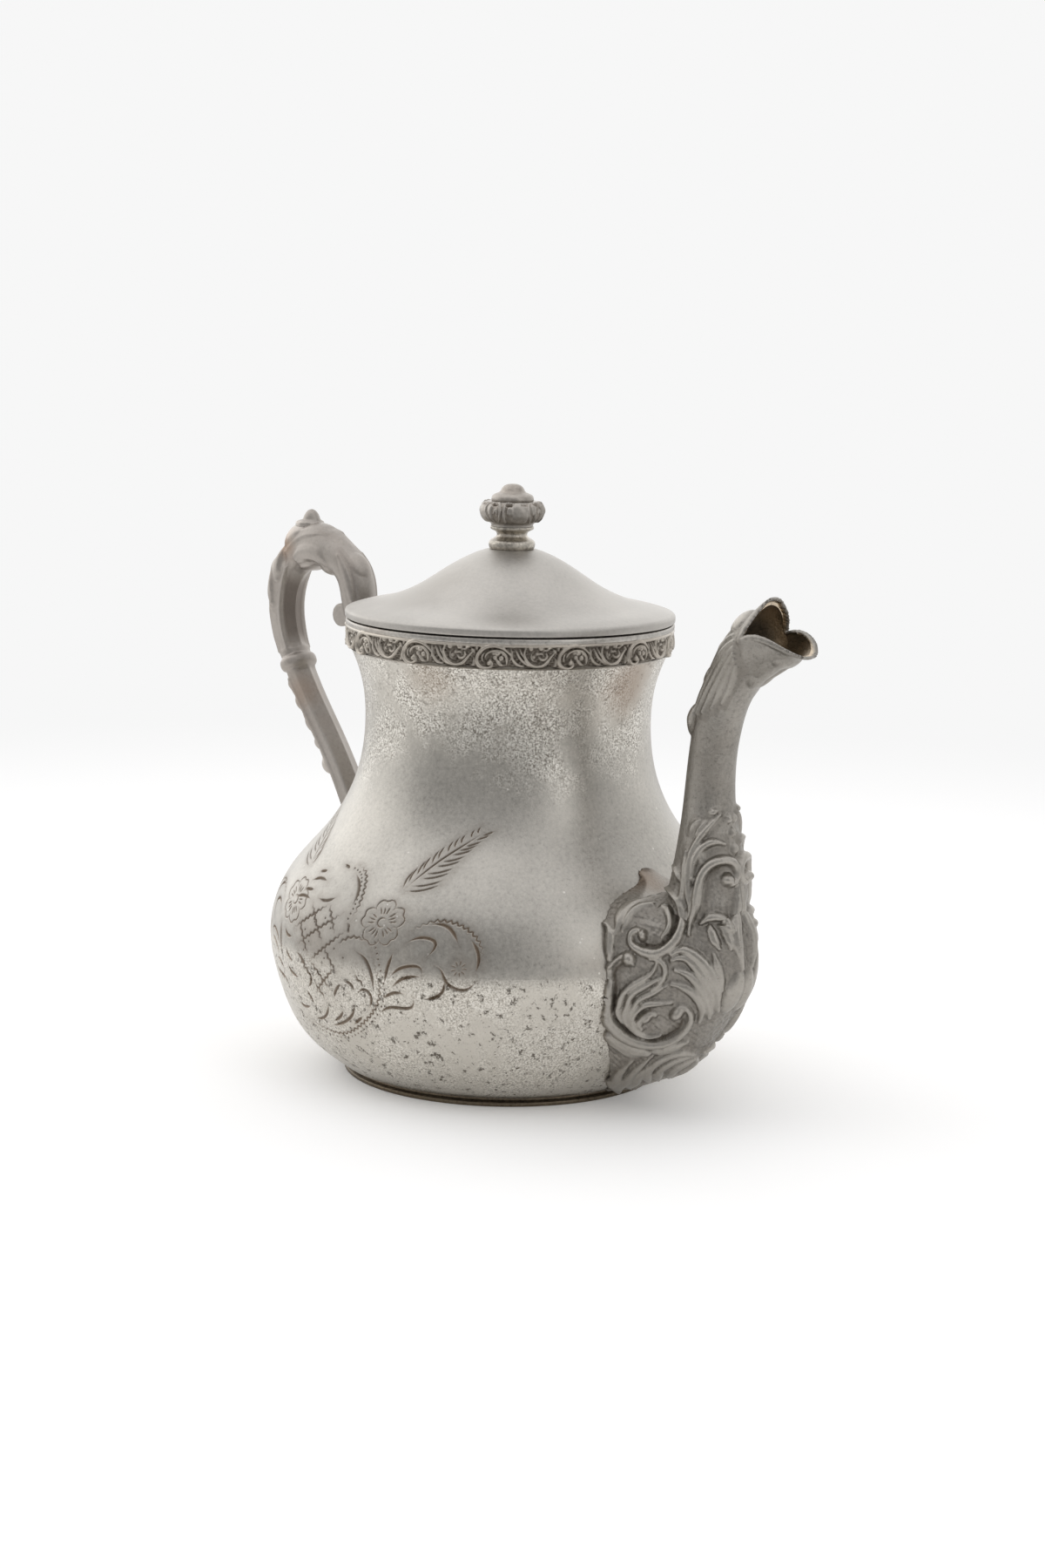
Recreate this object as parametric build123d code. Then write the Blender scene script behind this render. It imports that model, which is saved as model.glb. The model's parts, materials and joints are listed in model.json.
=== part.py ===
from build123d import *
import math
import os

# A lidded pewter teapot in millimetres. The origin is the middle of the foot,
# on the table. +Z is up, +X points along the spout and the handle is at -X.

# Driving dimensions: body
BODY_WALL = 1.3
FOOT_HEIGHT = 3.0
FOOT_INSET = 1.0
FOOT_WIDTH = 3.4
FOOT_EDGE = 0.3
FOOT_LIP = 1.2
FOOT_GROOVE_HEIGHT = 1.9
FOOT_GROOVE_DEPTH = 1.0
BASE_THICKNESS = 1.2
# Outer radius of the spun body at heights above the table, from foot to band
BODY_OUTLINE = [
    (49.6, 3.0),
    (61.5, 13.0),
    (68.8, 28.0),
    (71.6, 44.0),
    (66.7, 60.0),
    (53.8, 76.0),
    (45.7, 92.0),
    (43.4, 108.0),
    (45.0, 122.0),
    (48.2, 130.5),
]
BAND_DROP = 0.7
BAND_HEIGHT = 7.4
BAND_THICKNESS = 1.6
BAND_GROUND = 0.6
MOUTH_RING_HEIGHT = 1.8
MOUTH_RING_WIDTH = 3.6
MOUTH_ROUND = 0.6

# Driving dimensions: lid
LID_OVERHANG = 0.2
LID_GAP = 0.4
LID_EDGE_HEIGHT = 2.5
LID_WALL = 1.3
LID_SHOULDER_IN = 0.6
LID_SHOULDER_DROP = 0.5
# Outer lid profile: distance in from the lid's edge and height above it
LID_OUTLINE = [
    (3.5, 0.9),
    (10.0, 2.3),
    (17.0, 4.6),
    (23.0, 7.6),
    (28.5, 11.2),
    (35.0, 15.2),
    (41.0, 17.9),
]
LID_CROWN = 18.4
LID_CROWN_INSET = 42.6
BEZEL_DEPTH = 4.6
BEZEL_WALL = 1.0
BEZEL_PLAY = 0.5

# Driving dimensions: finial on the lid
STEM_RADIUS = 6.8
STEM_WAIST = 4.4
STEM_HEIGHT = 6.9
STEM_FLANGE = 0.8
STEM_COLLAR_RADIUS = 6.6
STEM_COLLAR = 1.2
KNOB_RADIUS = 9.6
KNOB_HEIGHT = 7.5
KNOB_SEAT_RADIUS = 6.0
CAP_RADIUS = 6.4
CAP_STEP = 2.2
CAP_EDGE = 1.3
BUTTON_RADIUS = 3.4
BUTTON_HEIGHT = 3.0
STUD_RADIUS = 1.25
STUD_PLAY = 0.15
STUD_IN_CAP = 2.6
NUT_FLATS = 6.0
NUT_HEIGHT = 2.2
WASHER_RADIUS = 4.6
WASHER_THICKNESS = 0.8
STUD_TAIL = 1.0

# Driving dimensions: hinge behind the lid
KNUCKLE_RADIUS = 2.3
HINGE_OFFSET = 2.9
HINGE_WIDTH = 16.0
LID_KNUCKLE_WIDTH = 5.4
KNUCKLE_GAP = 0.3
PIN_RADIUS = 1.0
PIN_PLAY = 0.03
PIN_HEAD = 0.4
PIN_HEAD_RISE = 0.5
HINGE_BLOCK_DEPTH = 5.4
HINGE_BLOCK_DROP = 0.2
HINGE_BLOCK_BACK = 2.0
STRAP_DROP = 0.7

# Driving dimensions: spout
SPOUT_WALL = 1.7
STRAINER_HOLE_RADIUS = 1.5
STRAINER_PITCH = 5.2
STRAINER_RINGS = 2
STRAINER_HEIGHT = 29.0
# The root's sides swell to a share of its width at a share of its reach
ROOT_SWELL_WIDTH = 0.74
ROOT_SWELL_REACH = 0.42
ROOT_BURIED = 8.0
# Root sections: height, half width at the body, reach of the nose from the axis
ROOT_SECTIONS = [
    (3.4, 7.0, 53.5),
    (10.0, 15.0, 67.0),
    (22.0, 21.5, 82.5),
    (36.0, 24.7, 93.0),
    (50.0, 25.0, 98.0),
    (60.0, 22.5, 96.6),
    (66.0, 13.0, 92.0),
    (71.5, 3.5, 86.0),
]
# Side view of the web between body and stem: its crest and where it meets the stem
WEB_CREST = (57.5, 71.3)
WEB_CROTCH = (69.0, 65.4)
# Stem sections: reach, height, lean from upright in degrees, half depth, half width
STEM_SECTIONS = [
    (80.0, 48.0, 0.0, 12.0, 12.0),
    (82.6, 62.0, 0.0, 11.6, 11.6),
    (83.0, 75.0, 0.0, 10.5, 10.5),
    (82.5, 87.0, 0.0, 8.4, 8.4),
    (82.4, 99.0, 2.0, 7.2, 7.2),
    (83.4, 111.0, 9.0, 6.9, 6.9),
    (86.0, 121.5, 20.0, 6.8, 6.9),
    (90.6, 130.6, 32.0, 6.9, 7.2),
    (98.0, 139.3, 42.0, 8.3, 9.5),
    (104.5, 144.1, 44.0, 9.2, 9.8),
    (111.0, 147.3, 46.7, 10.4, 8.4),
]
# Side view of the open mouth: upper tip, corner, crest of the near edge, pouring tip
MOUTH_UPPER_TIP = (103.9, 154.9)
MOUTH_CORNER = (100.2, 143.4)
MOUTH_CREST = (107.5, 144.9)
MOUTH_POUR_TIP = (117.8, 139.6)

# Driving dimensions: handle
HANDLE_WALL = 1.6
# Handle sections: X, height, half depth, half width, from the neck to the belly
HANDLE_SECTIONS = [
    (-42.0, 124.0, 6.4, 6.6),
    (-50.0, 125.0, 5.8, 6.2),
    (-60.0, 128.6, 5.4, 5.8),
    (-67.6, 136.0, 5.2, 5.6),
    (-69.6, 144.6, 5.6, 6.0),
    (-75.8, 151.6, 6.3, 6.6),
    (-86.0, 154.2, 6.8, 6.8),
    (-96.8, 150.6, 6.6, 6.5),
    (-102.6, 140.4, 5.2, 5.8),
    (-102.8, 129.0, 4.5, 5.4),
    (-98.4, 117.6, 4.2, 5.2),
    (-90.2, 104.8, 4.0, 5.0),
    (-80.8, 92.6, 3.9, 4.9),
    (-72.4, 80.6, 3.8, 4.8),
    (-65.8, 69.4, 4.2, 5.2),
    (-59.6, 61.0, 4.6, 5.6),
]
THUMB_KNOB = (-91.4, 160.6)
THUMB_KNOB_RADIUS = 3.3
THUMB_KNOB_RISE = 5.4
VOLUTE_CENTRE = (-73.4, 133.4)
VOLUTE_RADIUS = 3.7
VOLUTE_WIDTH = 7.0
COLLAR_PLACE = (-97.2, 115.4)
COLLAR_LEAN = 28.0
COLLAR_WIDTH = 4.6
COLLAR_RISE = 1.2
COLLAR_ROUND = 1.9

# Places worked out from the driving dimensions
BODY_FOOT_RADIUS = BODY_OUTLINE[0][0]
BODY_TOP_RADIUS, NECK_TOP = BODY_OUTLINE[-1]
BELLY_RADIUS, BELLY_HEIGHT = max(BODY_OUTLINE)
FOOT_RADIUS = BODY_FOOT_RADIUS - FOOT_INSET
BAND_RADIUS = BODY_TOP_RADIUS + BAND_THICKNESS
BAND_BOTTOM = NECK_TOP - BAND_DROP
BODY_TOP = BAND_BOTTOM + BAND_HEIGHT
MOUTH_TOP = BODY_TOP + MOUTH_RING_HEIGHT
MOUTH_RADIUS = BAND_RADIUS - MOUTH_RING_WIDTH
LID_RADIUS = BAND_RADIUS + LID_OVERHANG
LID_BOTTOM = MOUTH_TOP + LID_GAP
LID_EDGE_TOP = LID_BOTTOM + LID_EDGE_HEIGHT
LID_TOP = LID_EDGE_TOP + LID_CROWN
BEZEL_RADIUS = MOUTH_RADIUS - BEZEL_PLAY
STEM_TOP = LID_TOP + STEM_HEIGHT
KNOB_TOP = STEM_TOP + KNOB_HEIGHT
CAP_TOP = KNOB_TOP + CAP_STEP
HINGE_X = -(LID_RADIUS + HINGE_OFFSET)
HINGE_Z = LID_BOTTOM - LID_GAP / 2
FAR = 400.0


def side_plane():
    return Plane.XZ


def spin(face):
    """Turns a face drawn in the side view about the pot's axis."""
    return revolve(face, Axis.Z)


def ring(inner, outer, bottom, top):
    face = make_face(side_plane() * Polyline(
        (inner, bottom), (outer, bottom), (outer, top), (inner, top), close=True))
    return spin(face)


def disc(radius, bottom, top):
    return Pos(0, 0, bottom) * extrude(Circle(radius), top - bottom)


def slab(x_range, y_range, z_range):
    size = [high - low for low, high in (x_range, y_range, z_range)]
    middle = [(high + low) / 2 for low, high in (x_range, y_range, z_range)]
    return Pos(*middle) * Box(*size)


def inset(points, distance):
    """Moves the points of an outline towards the axis side by a wall's thickness."""
    moved = []
    for index, (radius, height) in enumerate(points):
        before = points[max(index - 1, 0)]
        after = points[min(index + 1, len(points) - 1)]
        along = Vector(after[0] - before[0], after[1] - before[1]).normalized()
        moved.append((radius - along.Y * distance, height + along.X * distance))
    return moved


def body_core(distance):
    """The space inside the body's outline, moved in by a distance."""
    outline = inset(BODY_OUTLINE, distance)
    outline[0] = (outline[0][0], FOOT_HEIGHT)
    outline[-1] = (BODY_TOP_RADIUS - distance, outline[-1][1])
    edges = [
        Line((0, FOOT_HEIGHT), outline[0]),
        Spline(*outline),
        Line(outline[-1], (outline[-1][0], BODY_TOP)),
        Line((outline[-1][0], BODY_TOP), (0, BODY_TOP)),
        Line((0, BODY_TOP), (0, FOOT_HEIGHT)),
    ]
    return spin(make_face([side_plane() * edge for edge in edges]))


def strainer_holes():
    """Holes through the wall in rings, where the spout's root covers them."""
    places = [(0.0, 0.0)]
    for ring_number in range(1, STRAINER_RINGS + 1):
        count = 6 * ring_number
        for step in range(count):
            angle = math.radians(360.0 * step / count)
            radius = ring_number * STRAINER_PITCH
            places.append((radius * math.cos(angle), radius * math.sin(angle)))
    drill = Rot(0, 90, 0) * extrude(Circle(STRAINER_HOLE_RADIUS), BELLY_RADIUS)
    return [Pos(BELLY_RADIUS / 2, y, STRAINER_HEIGHT + z) * drill for y, z in places]


def make_lower_shell():
    """The bowl, up to the seam round the widest part, with the strainer's holes."""
    wall = body_core(0) - body_core(BODY_WALL)
    return (wall & disc(FAR, 0, BELLY_HEIGHT)) - strainer_holes()


def make_upper_shell():
    """The shoulder and neck, from the seam up."""
    wall = body_core(0) - body_core(BODY_WALL)
    return wall - disc(FAR, 0, BELLY_HEIGHT)


def make_base_plate():
    plate = disc(BELLY_RADIUS, FOOT_HEIGHT, FOOT_HEIGHT + BASE_THICKNESS)
    return plate & body_core(BODY_WALL)


def make_foot_ring():
    inner = FOOT_RADIUS - FOOT_WIDTH
    groove = FOOT_RADIUS - FOOT_GROOVE_DEPTH
    outline = Polyline(
        (inner, 0), (FOOT_RADIUS - FOOT_EDGE, 0), (FOOT_RADIUS, FOOT_EDGE),
        (FOOT_RADIUS, FOOT_LIP), (groove, FOOT_GROOVE_HEIGHT), (groove, FOOT_HEIGHT),
        (inner, FOOT_HEIGHT), close=True)
    return spin(make_face(side_plane() * outline))


def make_rim_band():
    """The cast border: a flat strip between two beads."""
    bead = BAND_THICKNESS / 2
    inner = BODY_TOP_RADIUS
    ground = inner + BAND_THICKNESS * BAND_GROUND
    strip = ring(inner, ground, BAND_BOTTOM + bead, BODY_TOP)
    seat = ring(inner, inner + bead, BAND_BOTTOM, BODY_TOP)
    beads = [
        spin(side_plane() * Pos(inner + bead, height) * Circle(bead))
        for height in (BAND_BOTTOM + bead, BODY_TOP - bead)
    ]
    top_lip = ring(inner, BAND_RADIUS, BODY_TOP - bead, BODY_TOP)
    band = strip + seat + top_lip
    for each in beads:
        band += each
    return band - body_core(0)


def make_mouth_ring():
    ledge = ring(MOUTH_RADIUS, BAND_RADIUS, BODY_TOP, MOUTH_TOP)
    edges = ledge.edges().filter_by(GeomType.CIRCLE).group_by(Axis.Z)[-1]
    outer = max(edges, key=lambda edge: edge.radius)
    return fillet(outer, MOUTH_ROUND)


def lid_core(distance):
    """The space under the lid's outer face, moved in by a distance."""
    outline = [(LID_RADIUS - inward, rise)
               for inward, rise in [(LID_SHOULDER_IN, 0.0)] + LID_OUTLINE]
    places = [(radius, LID_EDGE_TOP + rise) for radius, rise in inset(outline, distance)]
    crown = LID_TOP - distance
    edge = LID_RADIUS - distance
    crown_edge = LID_RADIUS - LID_CROWN_INSET
    shoulder = LID_EDGE_TOP - distance - LID_SHOULDER_DROP
    edges = [
        Line((0, LID_BOTTOM), (edge, LID_BOTTOM)),
        Line((edge, LID_BOTTOM), (edge, shoulder)),
        Line((edge, shoulder), places[0]),
        Spline(*places, (crown_edge, crown), tangents=[(-1, 0.25), (-1, 0)]),
        Line((crown_edge, crown), (0, crown)),
        Line((0, crown), (0, LID_BOTTOM)),
    ]
    return spin(make_face([side_plane() * edge for edge in edges]))


def make_lid_shell():
    shell = lid_core(0) - lid_core(LID_WALL)
    return shell - disc(STUD_RADIUS + STUD_PLAY, LID_BOTTOM, LID_TOP)


def make_lid_bezel():
    inner = BEZEL_RADIUS - BEZEL_WALL
    skirt = ring(inner, BEZEL_RADIUS, MOUTH_TOP - BEZEL_DEPTH, LID_BOTTOM)
    joint = ring(inner, BEZEL_RADIUS, LID_BOTTOM, LID_TOP) & lid_core(LID_WALL)
    return skirt + joint


def make_finial_stem():
    bore = STUD_RADIUS + STUD_PLAY
    collar = STEM_COLLAR_RADIUS
    flange = LID_TOP + STEM_FLANGE
    collar_low = STEM_TOP - STEM_COLLAR
    edges = [
        Line((bore, LID_TOP), (STEM_RADIUS, LID_TOP)),
        Line((STEM_RADIUS, LID_TOP), (STEM_RADIUS, flange)),
        Spline((STEM_RADIUS, flange), (STEM_WAIST, LID_TOP + STEM_HEIGHT / 2),
               (collar, collar_low), tangents=[(-1, 0.2), (1, 0.2)]),
        Line((collar, collar_low), (collar, STEM_TOP)),
        Line((collar, STEM_TOP), (bore, STEM_TOP)),
        Line((bore, STEM_TOP), (bore, LID_TOP)),
    ]
    return spin(make_face([side_plane() * edge for edge in edges]))


def make_finial_knob():
    bore = STUD_RADIUS + STUD_PLAY
    seat = KNOB_SEAT_RADIUS
    middle = STEM_TOP + KNOB_HEIGHT / 2
    edges = [
        Line((bore, STEM_TOP), (seat, STEM_TOP)),
        Spline((seat, STEM_TOP), (KNOB_RADIUS, middle), (seat, KNOB_TOP),
               tangents=[(1, 0.15), (-1, 0.15)]),
        Line((seat, KNOB_TOP), (bore, KNOB_TOP)),
        Line((bore, KNOB_TOP), (bore, STEM_TOP)),
    ]
    return spin(make_face([side_plane() * edge for edge in edges]))


def make_finial_cap():
    slope = [(CAP_RADIUS, KNOB_TOP), (CAP_RADIUS, KNOB_TOP + CAP_EDGE), (BUTTON_RADIUS, CAP_TOP)]
    bottom = Line((0, KNOB_TOP), slope[0])
    side = Polyline(*slope)
    dome = Spline(slope[-1], (0, CAP_TOP + BUTTON_HEIGHT), tangents=[(0, 1), (-1, 0)])
    back = Line((0, CAP_TOP + BUTTON_HEIGHT), (0, KNOB_TOP))
    cap = spin(make_face([side_plane() * edge for edge in (bottom, side, dome, back)]))
    return cap - disc(STUD_RADIUS, KNOB_TOP, KNOB_TOP + STUD_IN_CAP)


def nut_bottom():
    return LID_TOP - LID_WALL - WASHER_THICKNESS - NUT_HEIGHT


def make_finial_stud():
    return disc(STUD_RADIUS, nut_bottom() - STUD_TAIL, KNOB_TOP + STUD_IN_CAP)


def make_finial_washer():
    bottom = nut_bottom() + NUT_HEIGHT
    return ring(STUD_RADIUS + STUD_PLAY, WASHER_RADIUS, bottom, bottom + WASHER_THICKNESS)


def make_finial_nut():
    corner = NUT_FLATS / math.sqrt(3)
    hexagon = RegularPolygon(corner, 6) - Circle(STUD_RADIUS)
    return Pos(0, 0, nut_bottom()) * extrude(hexagon, NUT_HEIGHT)


def knuckle(radius, low, high):
    barrel = Rot(-90, 0, 0) * extrude(Circle(radius), high - low)
    return Pos(HINGE_X, low, HINGE_Z) * barrel


def make_hinge_block():
    """Outer knuckles on a block that is soldered behind the mouth."""
    half = HINGE_WIDTH / 2
    inner = LID_KNUCKLE_WIDTH / 2 + KNUCKLE_GAP
    block_top = MOUTH_TOP - HINGE_BLOCK_DROP
    block = slab((HINGE_X - HINGE_BLOCK_BACK, 0), (-half, half),
                 (block_top - HINGE_BLOCK_DEPTH, block_top))
    block -= disc(BAND_RADIUS, 0, FAR)
    for low, high in ((-half, -inner), (inner, half)):
        block += knuckle(KNUCKLE_RADIUS, low, high)
    block -= knuckle(KNUCKLE_RADIUS + KNUCKLE_GAP, -inner, inner)
    return block - knuckle(PIN_RADIUS, -half, half)


def make_hinge_strap():
    """Middle knuckle with a strap to the lid's edge."""
    half = LID_KNUCKLE_WIDTH / 2
    strap = slab((HINGE_X, 0), (-half, half), (LID_BOTTOM, LID_EDGE_TOP - STRAP_DROP))
    strap -= disc(LID_RADIUS, 0, FAR)
    strap += knuckle(KNUCKLE_RADIUS, -half, half)
    return strap - knuckle(PIN_RADIUS + PIN_PLAY, -half, half)


def make_hinge_pin():
    half = HINGE_WIDTH / 2
    pin = knuckle(PIN_RADIUS, -half, half)
    for low, high in ((-half - PIN_HEAD, -half), (half, half + PIN_HEAD)):
        pin += knuckle(PIN_RADIUS + PIN_HEAD_RISE, low, high)
    return pin


def solid_parts_in_the_way():
    """What a casting is trimmed against: the body, its band and its foot."""
    foot = disc(BODY_FOOT_RADIUS, 0, FOOT_HEIGHT)
    band = disc(BAND_RADIUS, BAND_BOTTOM, MOUTH_TOP)
    return body_core(0) + foot + band


def body_radius(height):
    """Radius of the body's outline at a height, read off its neighbours."""
    for (low_r, low_z), (high_r, high_z) in zip(BODY_OUTLINE, BODY_OUTLINE[1:]):
        if low_z <= height <= high_z:
            return low_r + (high_r - low_r) * (height - low_z) / (high_z - low_z)
    return BODY_FOOT_RADIUS


def root_face(height, half_width, nose, distance):
    """A shield-shaped level section of the root, from inside the body to its nose."""
    width = half_width - distance
    tip = nose - distance
    side = math.sqrt(max(body_radius(height) ** 2 - half_width ** 2, 1.0))
    back = side - ROOT_BURIED
    swell_x = side + ROOT_SWELL_REACH * (tip - side)
    swell_y = width * ROOT_SWELL_WIDTH
    curve = Spline(
        (back, width), (swell_x, swell_y), (tip, 0), (swell_x, -swell_y), (back, -width),
        tangents=[(1, 0), (-1, 0)])
    face = make_face([curve, Line((back, -width), (back, width))])
    return Pos(0, 0, height) * face


def web_cutter(distance):
    """Everything above the web that slopes from the body down to the stem."""
    run = WEB_CROTCH[0] - WEB_CREST[0]
    fall = WEB_CREST[1] - WEB_CROTCH[1]
    drop = distance * math.hypot(run, fall) / run
    back = (WEB_CREST[0] - 2 * run, WEB_CREST[1] + 2 * fall - drop)
    front = (WEB_CROTCH[0] + 4 * run, WEB_CROTCH[1] + 4 * fall - drop)
    outline = Polyline(
        back, (WEB_CROTCH[0], WEB_CROTCH[1] - drop), front,
        (front[0], FAR), (back[0], FAR), close=True)
    return extrude(make_face(side_plane() * outline), FAR, both=True)


def spout_root(distance):
    sections = []
    for index, (height, half_width, nose) in enumerate(ROOT_SECTIONS):
        level = height
        if index == 0:
            level = height + distance
        sections.append(root_face(level, half_width, nose, distance))
    return loft(sections) - web_cutter(distance)


def spout_stem(distance):
    sections = []
    for reach, height, lean, half_depth, half_width in STEM_SECTIONS:
        angle = math.radians(lean)
        plane = Plane(origin=(reach, 0, height), x_dir=(0, 1, 0),
                      z_dir=(math.sin(angle), 0, math.cos(angle)))
        sections.append(plane * Ellipse(half_width - distance, half_depth - distance))
    return loft(sections)


def mouth_cutter():
    """Everything in front of the open mouth, seen from the side."""
    upper, corner = MOUTH_UPPER_TIP, MOUTH_CORNER
    crest, pour = MOUTH_CREST, MOUTH_POUR_TIP
    edges = [
        Line((upper[0], FAR), upper),
        Spline(upper, corner, tangents=[(-0.1, -1), (-0.5, -1)]),
        Spline(corner, crest, pour, tangents=[(1, 0.9), (1, -0.6)]),
        Line(pour, (FAR, pour[1])),
        Line((FAR, pour[1]), (FAR, FAR)),
        Line((FAR, FAR), (upper[0], FAR)),
    ]
    face = make_face([side_plane() * edge for edge in edges])
    return extrude(face, FAR, both=True)


def left_side(shape):
    """The part of a shape on the left of the pot's middle plane."""
    span = (-FAR, FAR)
    return shape & slab(span, (0, FAR), span)


def make_spout_half():
    """The left casting of the spout: root and stem with one hollow through both."""
    root = left_side(spout_root(0)) - solid_parts_in_the_way()
    stem = left_side(spout_stem(0)) - mouth_cutter()
    return root + stem - spout_stem(SPOUT_WALL) - spout_root(SPOUT_WALL)


def handle_tube(distance):
    """The handle's outer form, or the hollow in it, moved in by a distance."""
    spine = Spline(*[(x, 0, z) for x, z, _, _ in HANDLE_SECTIONS])
    sections = []
    for x, z, depth, width in HANDLE_SECTIONS:
        along = spine.tangent_at(Vector(x, 0, z))
        plane = Plane(origin=(x, 0, z), x_dir=(0, 1, 0), z_dir=along)
        sections.append(plane * Ellipse(width - distance, depth - distance))
    return loft(sections)


def handle_collar():
    nearest = min(HANDLE_SECTIONS, key=lambda row: abs(row[1] - COLLAR_PLACE[1]))
    depth, width = nearest[2:]
    angle = math.radians(COLLAR_LEAN)
    plane = Plane(origin=(COLLAR_PLACE[0], 0, COLLAR_PLACE[1]), x_dir=(0, 1, 0),
                  z_dir=(math.sin(angle), 0, -math.cos(angle)))
    bead = extrude(Ellipse(width + COLLAR_RISE, depth + COLLAR_RISE), COLLAR_WIDTH / 2,
                   both=True)
    bead = fillet(bead.edges(), COLLAR_ROUND)
    return plane * bead


def make_handle_half():
    """The left casting of the hollow handle, with its knob, volute and collar."""
    knob = scale(Sphere(1), by=(THUMB_KNOB_RADIUS, THUMB_KNOB_RADIUS, THUMB_KNOB_RISE))
    knob = Pos(THUMB_KNOB[0], 0, THUMB_KNOB[1]) * knob
    volute = Rot(90, 0, 0) * extrude(Circle(VOLUTE_RADIUS), VOLUTE_WIDTH / 2, both=True)
    volute = Pos(VOLUTE_CENTRE[0], 0, VOLUTE_CENTRE[1]) * volute
    grip = left_side(handle_tube(0))
    for extra in (handle_collar(), knob, volute):
        grip += left_side(extra)
    return grip - solid_parts_in_the_way() - handle_tube(HANDLE_WALL)


spout_left = make_spout_half()
handle_left = make_handle_half()

PIECES = {
    "lower_shell": make_lower_shell(),
    "upper_shell": make_upper_shell(),
    "base_plate": make_base_plate(),
    "foot_ring": make_foot_ring(),
    "rim_band": make_rim_band(),
    "mouth_ring": make_mouth_ring(),
    "spout_left_half": spout_left,
    "spout_right_half": mirror(spout_left, Plane.XZ),
    "handle_left_half": handle_left,
    "handle_right_half": mirror(handle_left, Plane.XZ),
    "hinge_block": make_hinge_block(),
    "hinge_pin": make_hinge_pin(),
    "hinge_strap": make_hinge_strap(),
    "lid_shell": make_lid_shell(),
    "lid_bezel": make_lid_bezel(),
    "finial_stem": make_finial_stem(),
    "finial_knob": make_finial_knob(),
    "finial_cap": make_finial_cap(),
    "finial_stud": make_finial_stud(),
    "finial_washer": make_finial_washer(),
    "finial_nut": make_finial_nut(),
}

os.makedirs("parts", exist_ok=True)
for name, piece in PIECES.items():
    piece.label = name
    export_step(piece, f"parts/{name}.step")
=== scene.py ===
import json
import math
import bmesh
import bpy
import numpy as np
from mathutils import Matrix, Vector

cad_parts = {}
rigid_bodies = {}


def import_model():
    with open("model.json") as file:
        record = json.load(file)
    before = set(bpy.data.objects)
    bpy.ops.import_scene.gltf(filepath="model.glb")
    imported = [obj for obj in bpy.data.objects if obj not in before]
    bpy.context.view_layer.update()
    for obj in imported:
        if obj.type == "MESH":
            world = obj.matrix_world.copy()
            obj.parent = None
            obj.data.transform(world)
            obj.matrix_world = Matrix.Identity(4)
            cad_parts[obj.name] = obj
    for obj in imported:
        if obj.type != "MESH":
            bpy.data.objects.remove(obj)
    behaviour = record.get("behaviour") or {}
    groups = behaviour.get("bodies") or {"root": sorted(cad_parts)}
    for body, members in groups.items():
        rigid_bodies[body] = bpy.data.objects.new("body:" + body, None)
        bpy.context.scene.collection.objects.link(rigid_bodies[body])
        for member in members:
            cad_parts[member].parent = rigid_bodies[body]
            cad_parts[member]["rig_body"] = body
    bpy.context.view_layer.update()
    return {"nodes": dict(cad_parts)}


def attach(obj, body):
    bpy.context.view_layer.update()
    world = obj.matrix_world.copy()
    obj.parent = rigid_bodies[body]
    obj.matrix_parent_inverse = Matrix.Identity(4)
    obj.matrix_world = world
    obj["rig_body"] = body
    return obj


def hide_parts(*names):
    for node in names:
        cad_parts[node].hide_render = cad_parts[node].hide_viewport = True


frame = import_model()

# Sizes are in millimetres up to the point where a mesh is made
MM = 0.001

# The turned body, from foot to band: radius and height
BODY_OUTLINE = [(49.6, 3.0), (61.5, 13.0), (68.8, 28.0), (71.6, 44.0), (66.7, 60.0),
                (53.8, 76.0), (45.7, 92.0), (43.4, 108.0), (45.0, 122.0), (48.2, 130.5)]
BELLY_HEIGHT = 44.0
BODY_WALL = 1.3
BODY_TOP = 137.2
BODY_TOP_RADIUS = 48.2
FOOT_HEIGHT = 3.0
MOUTH_TOP = 139.0
MOUTH_RADIUS = 46.2
BAND_BOTTOM = 129.8
BAND_RADIUS = 49.8
STRAINER_HEIGHT = 29.0
STRAINER_PITCH = 5.2
STRAINER_HOLE_RADIUS = 1.5
# The lid, from its edge to its crown: radius and height
LID_RADIUS = 50.0
LID_BOTTOM = 139.4
LID_OUTLINE = [(49.4, 141.9), (46.5, 142.8), (40.0, 144.2), (33.0, 146.5), (27.0, 149.5),
               (21.5, 153.1), (15.0, 157.1), (9.0, 159.8), (7.4, 160.3)]
LID_WALL = 1.3
LID_RIM_TOP = 141.3
LID_RIM_UNDER = 140.3
LID_TOP = 160.3
STEM_TOP = 167.2
KNOB_TOP = 174.7
STUD_BORE = 1.4


# Curves and nets

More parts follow.
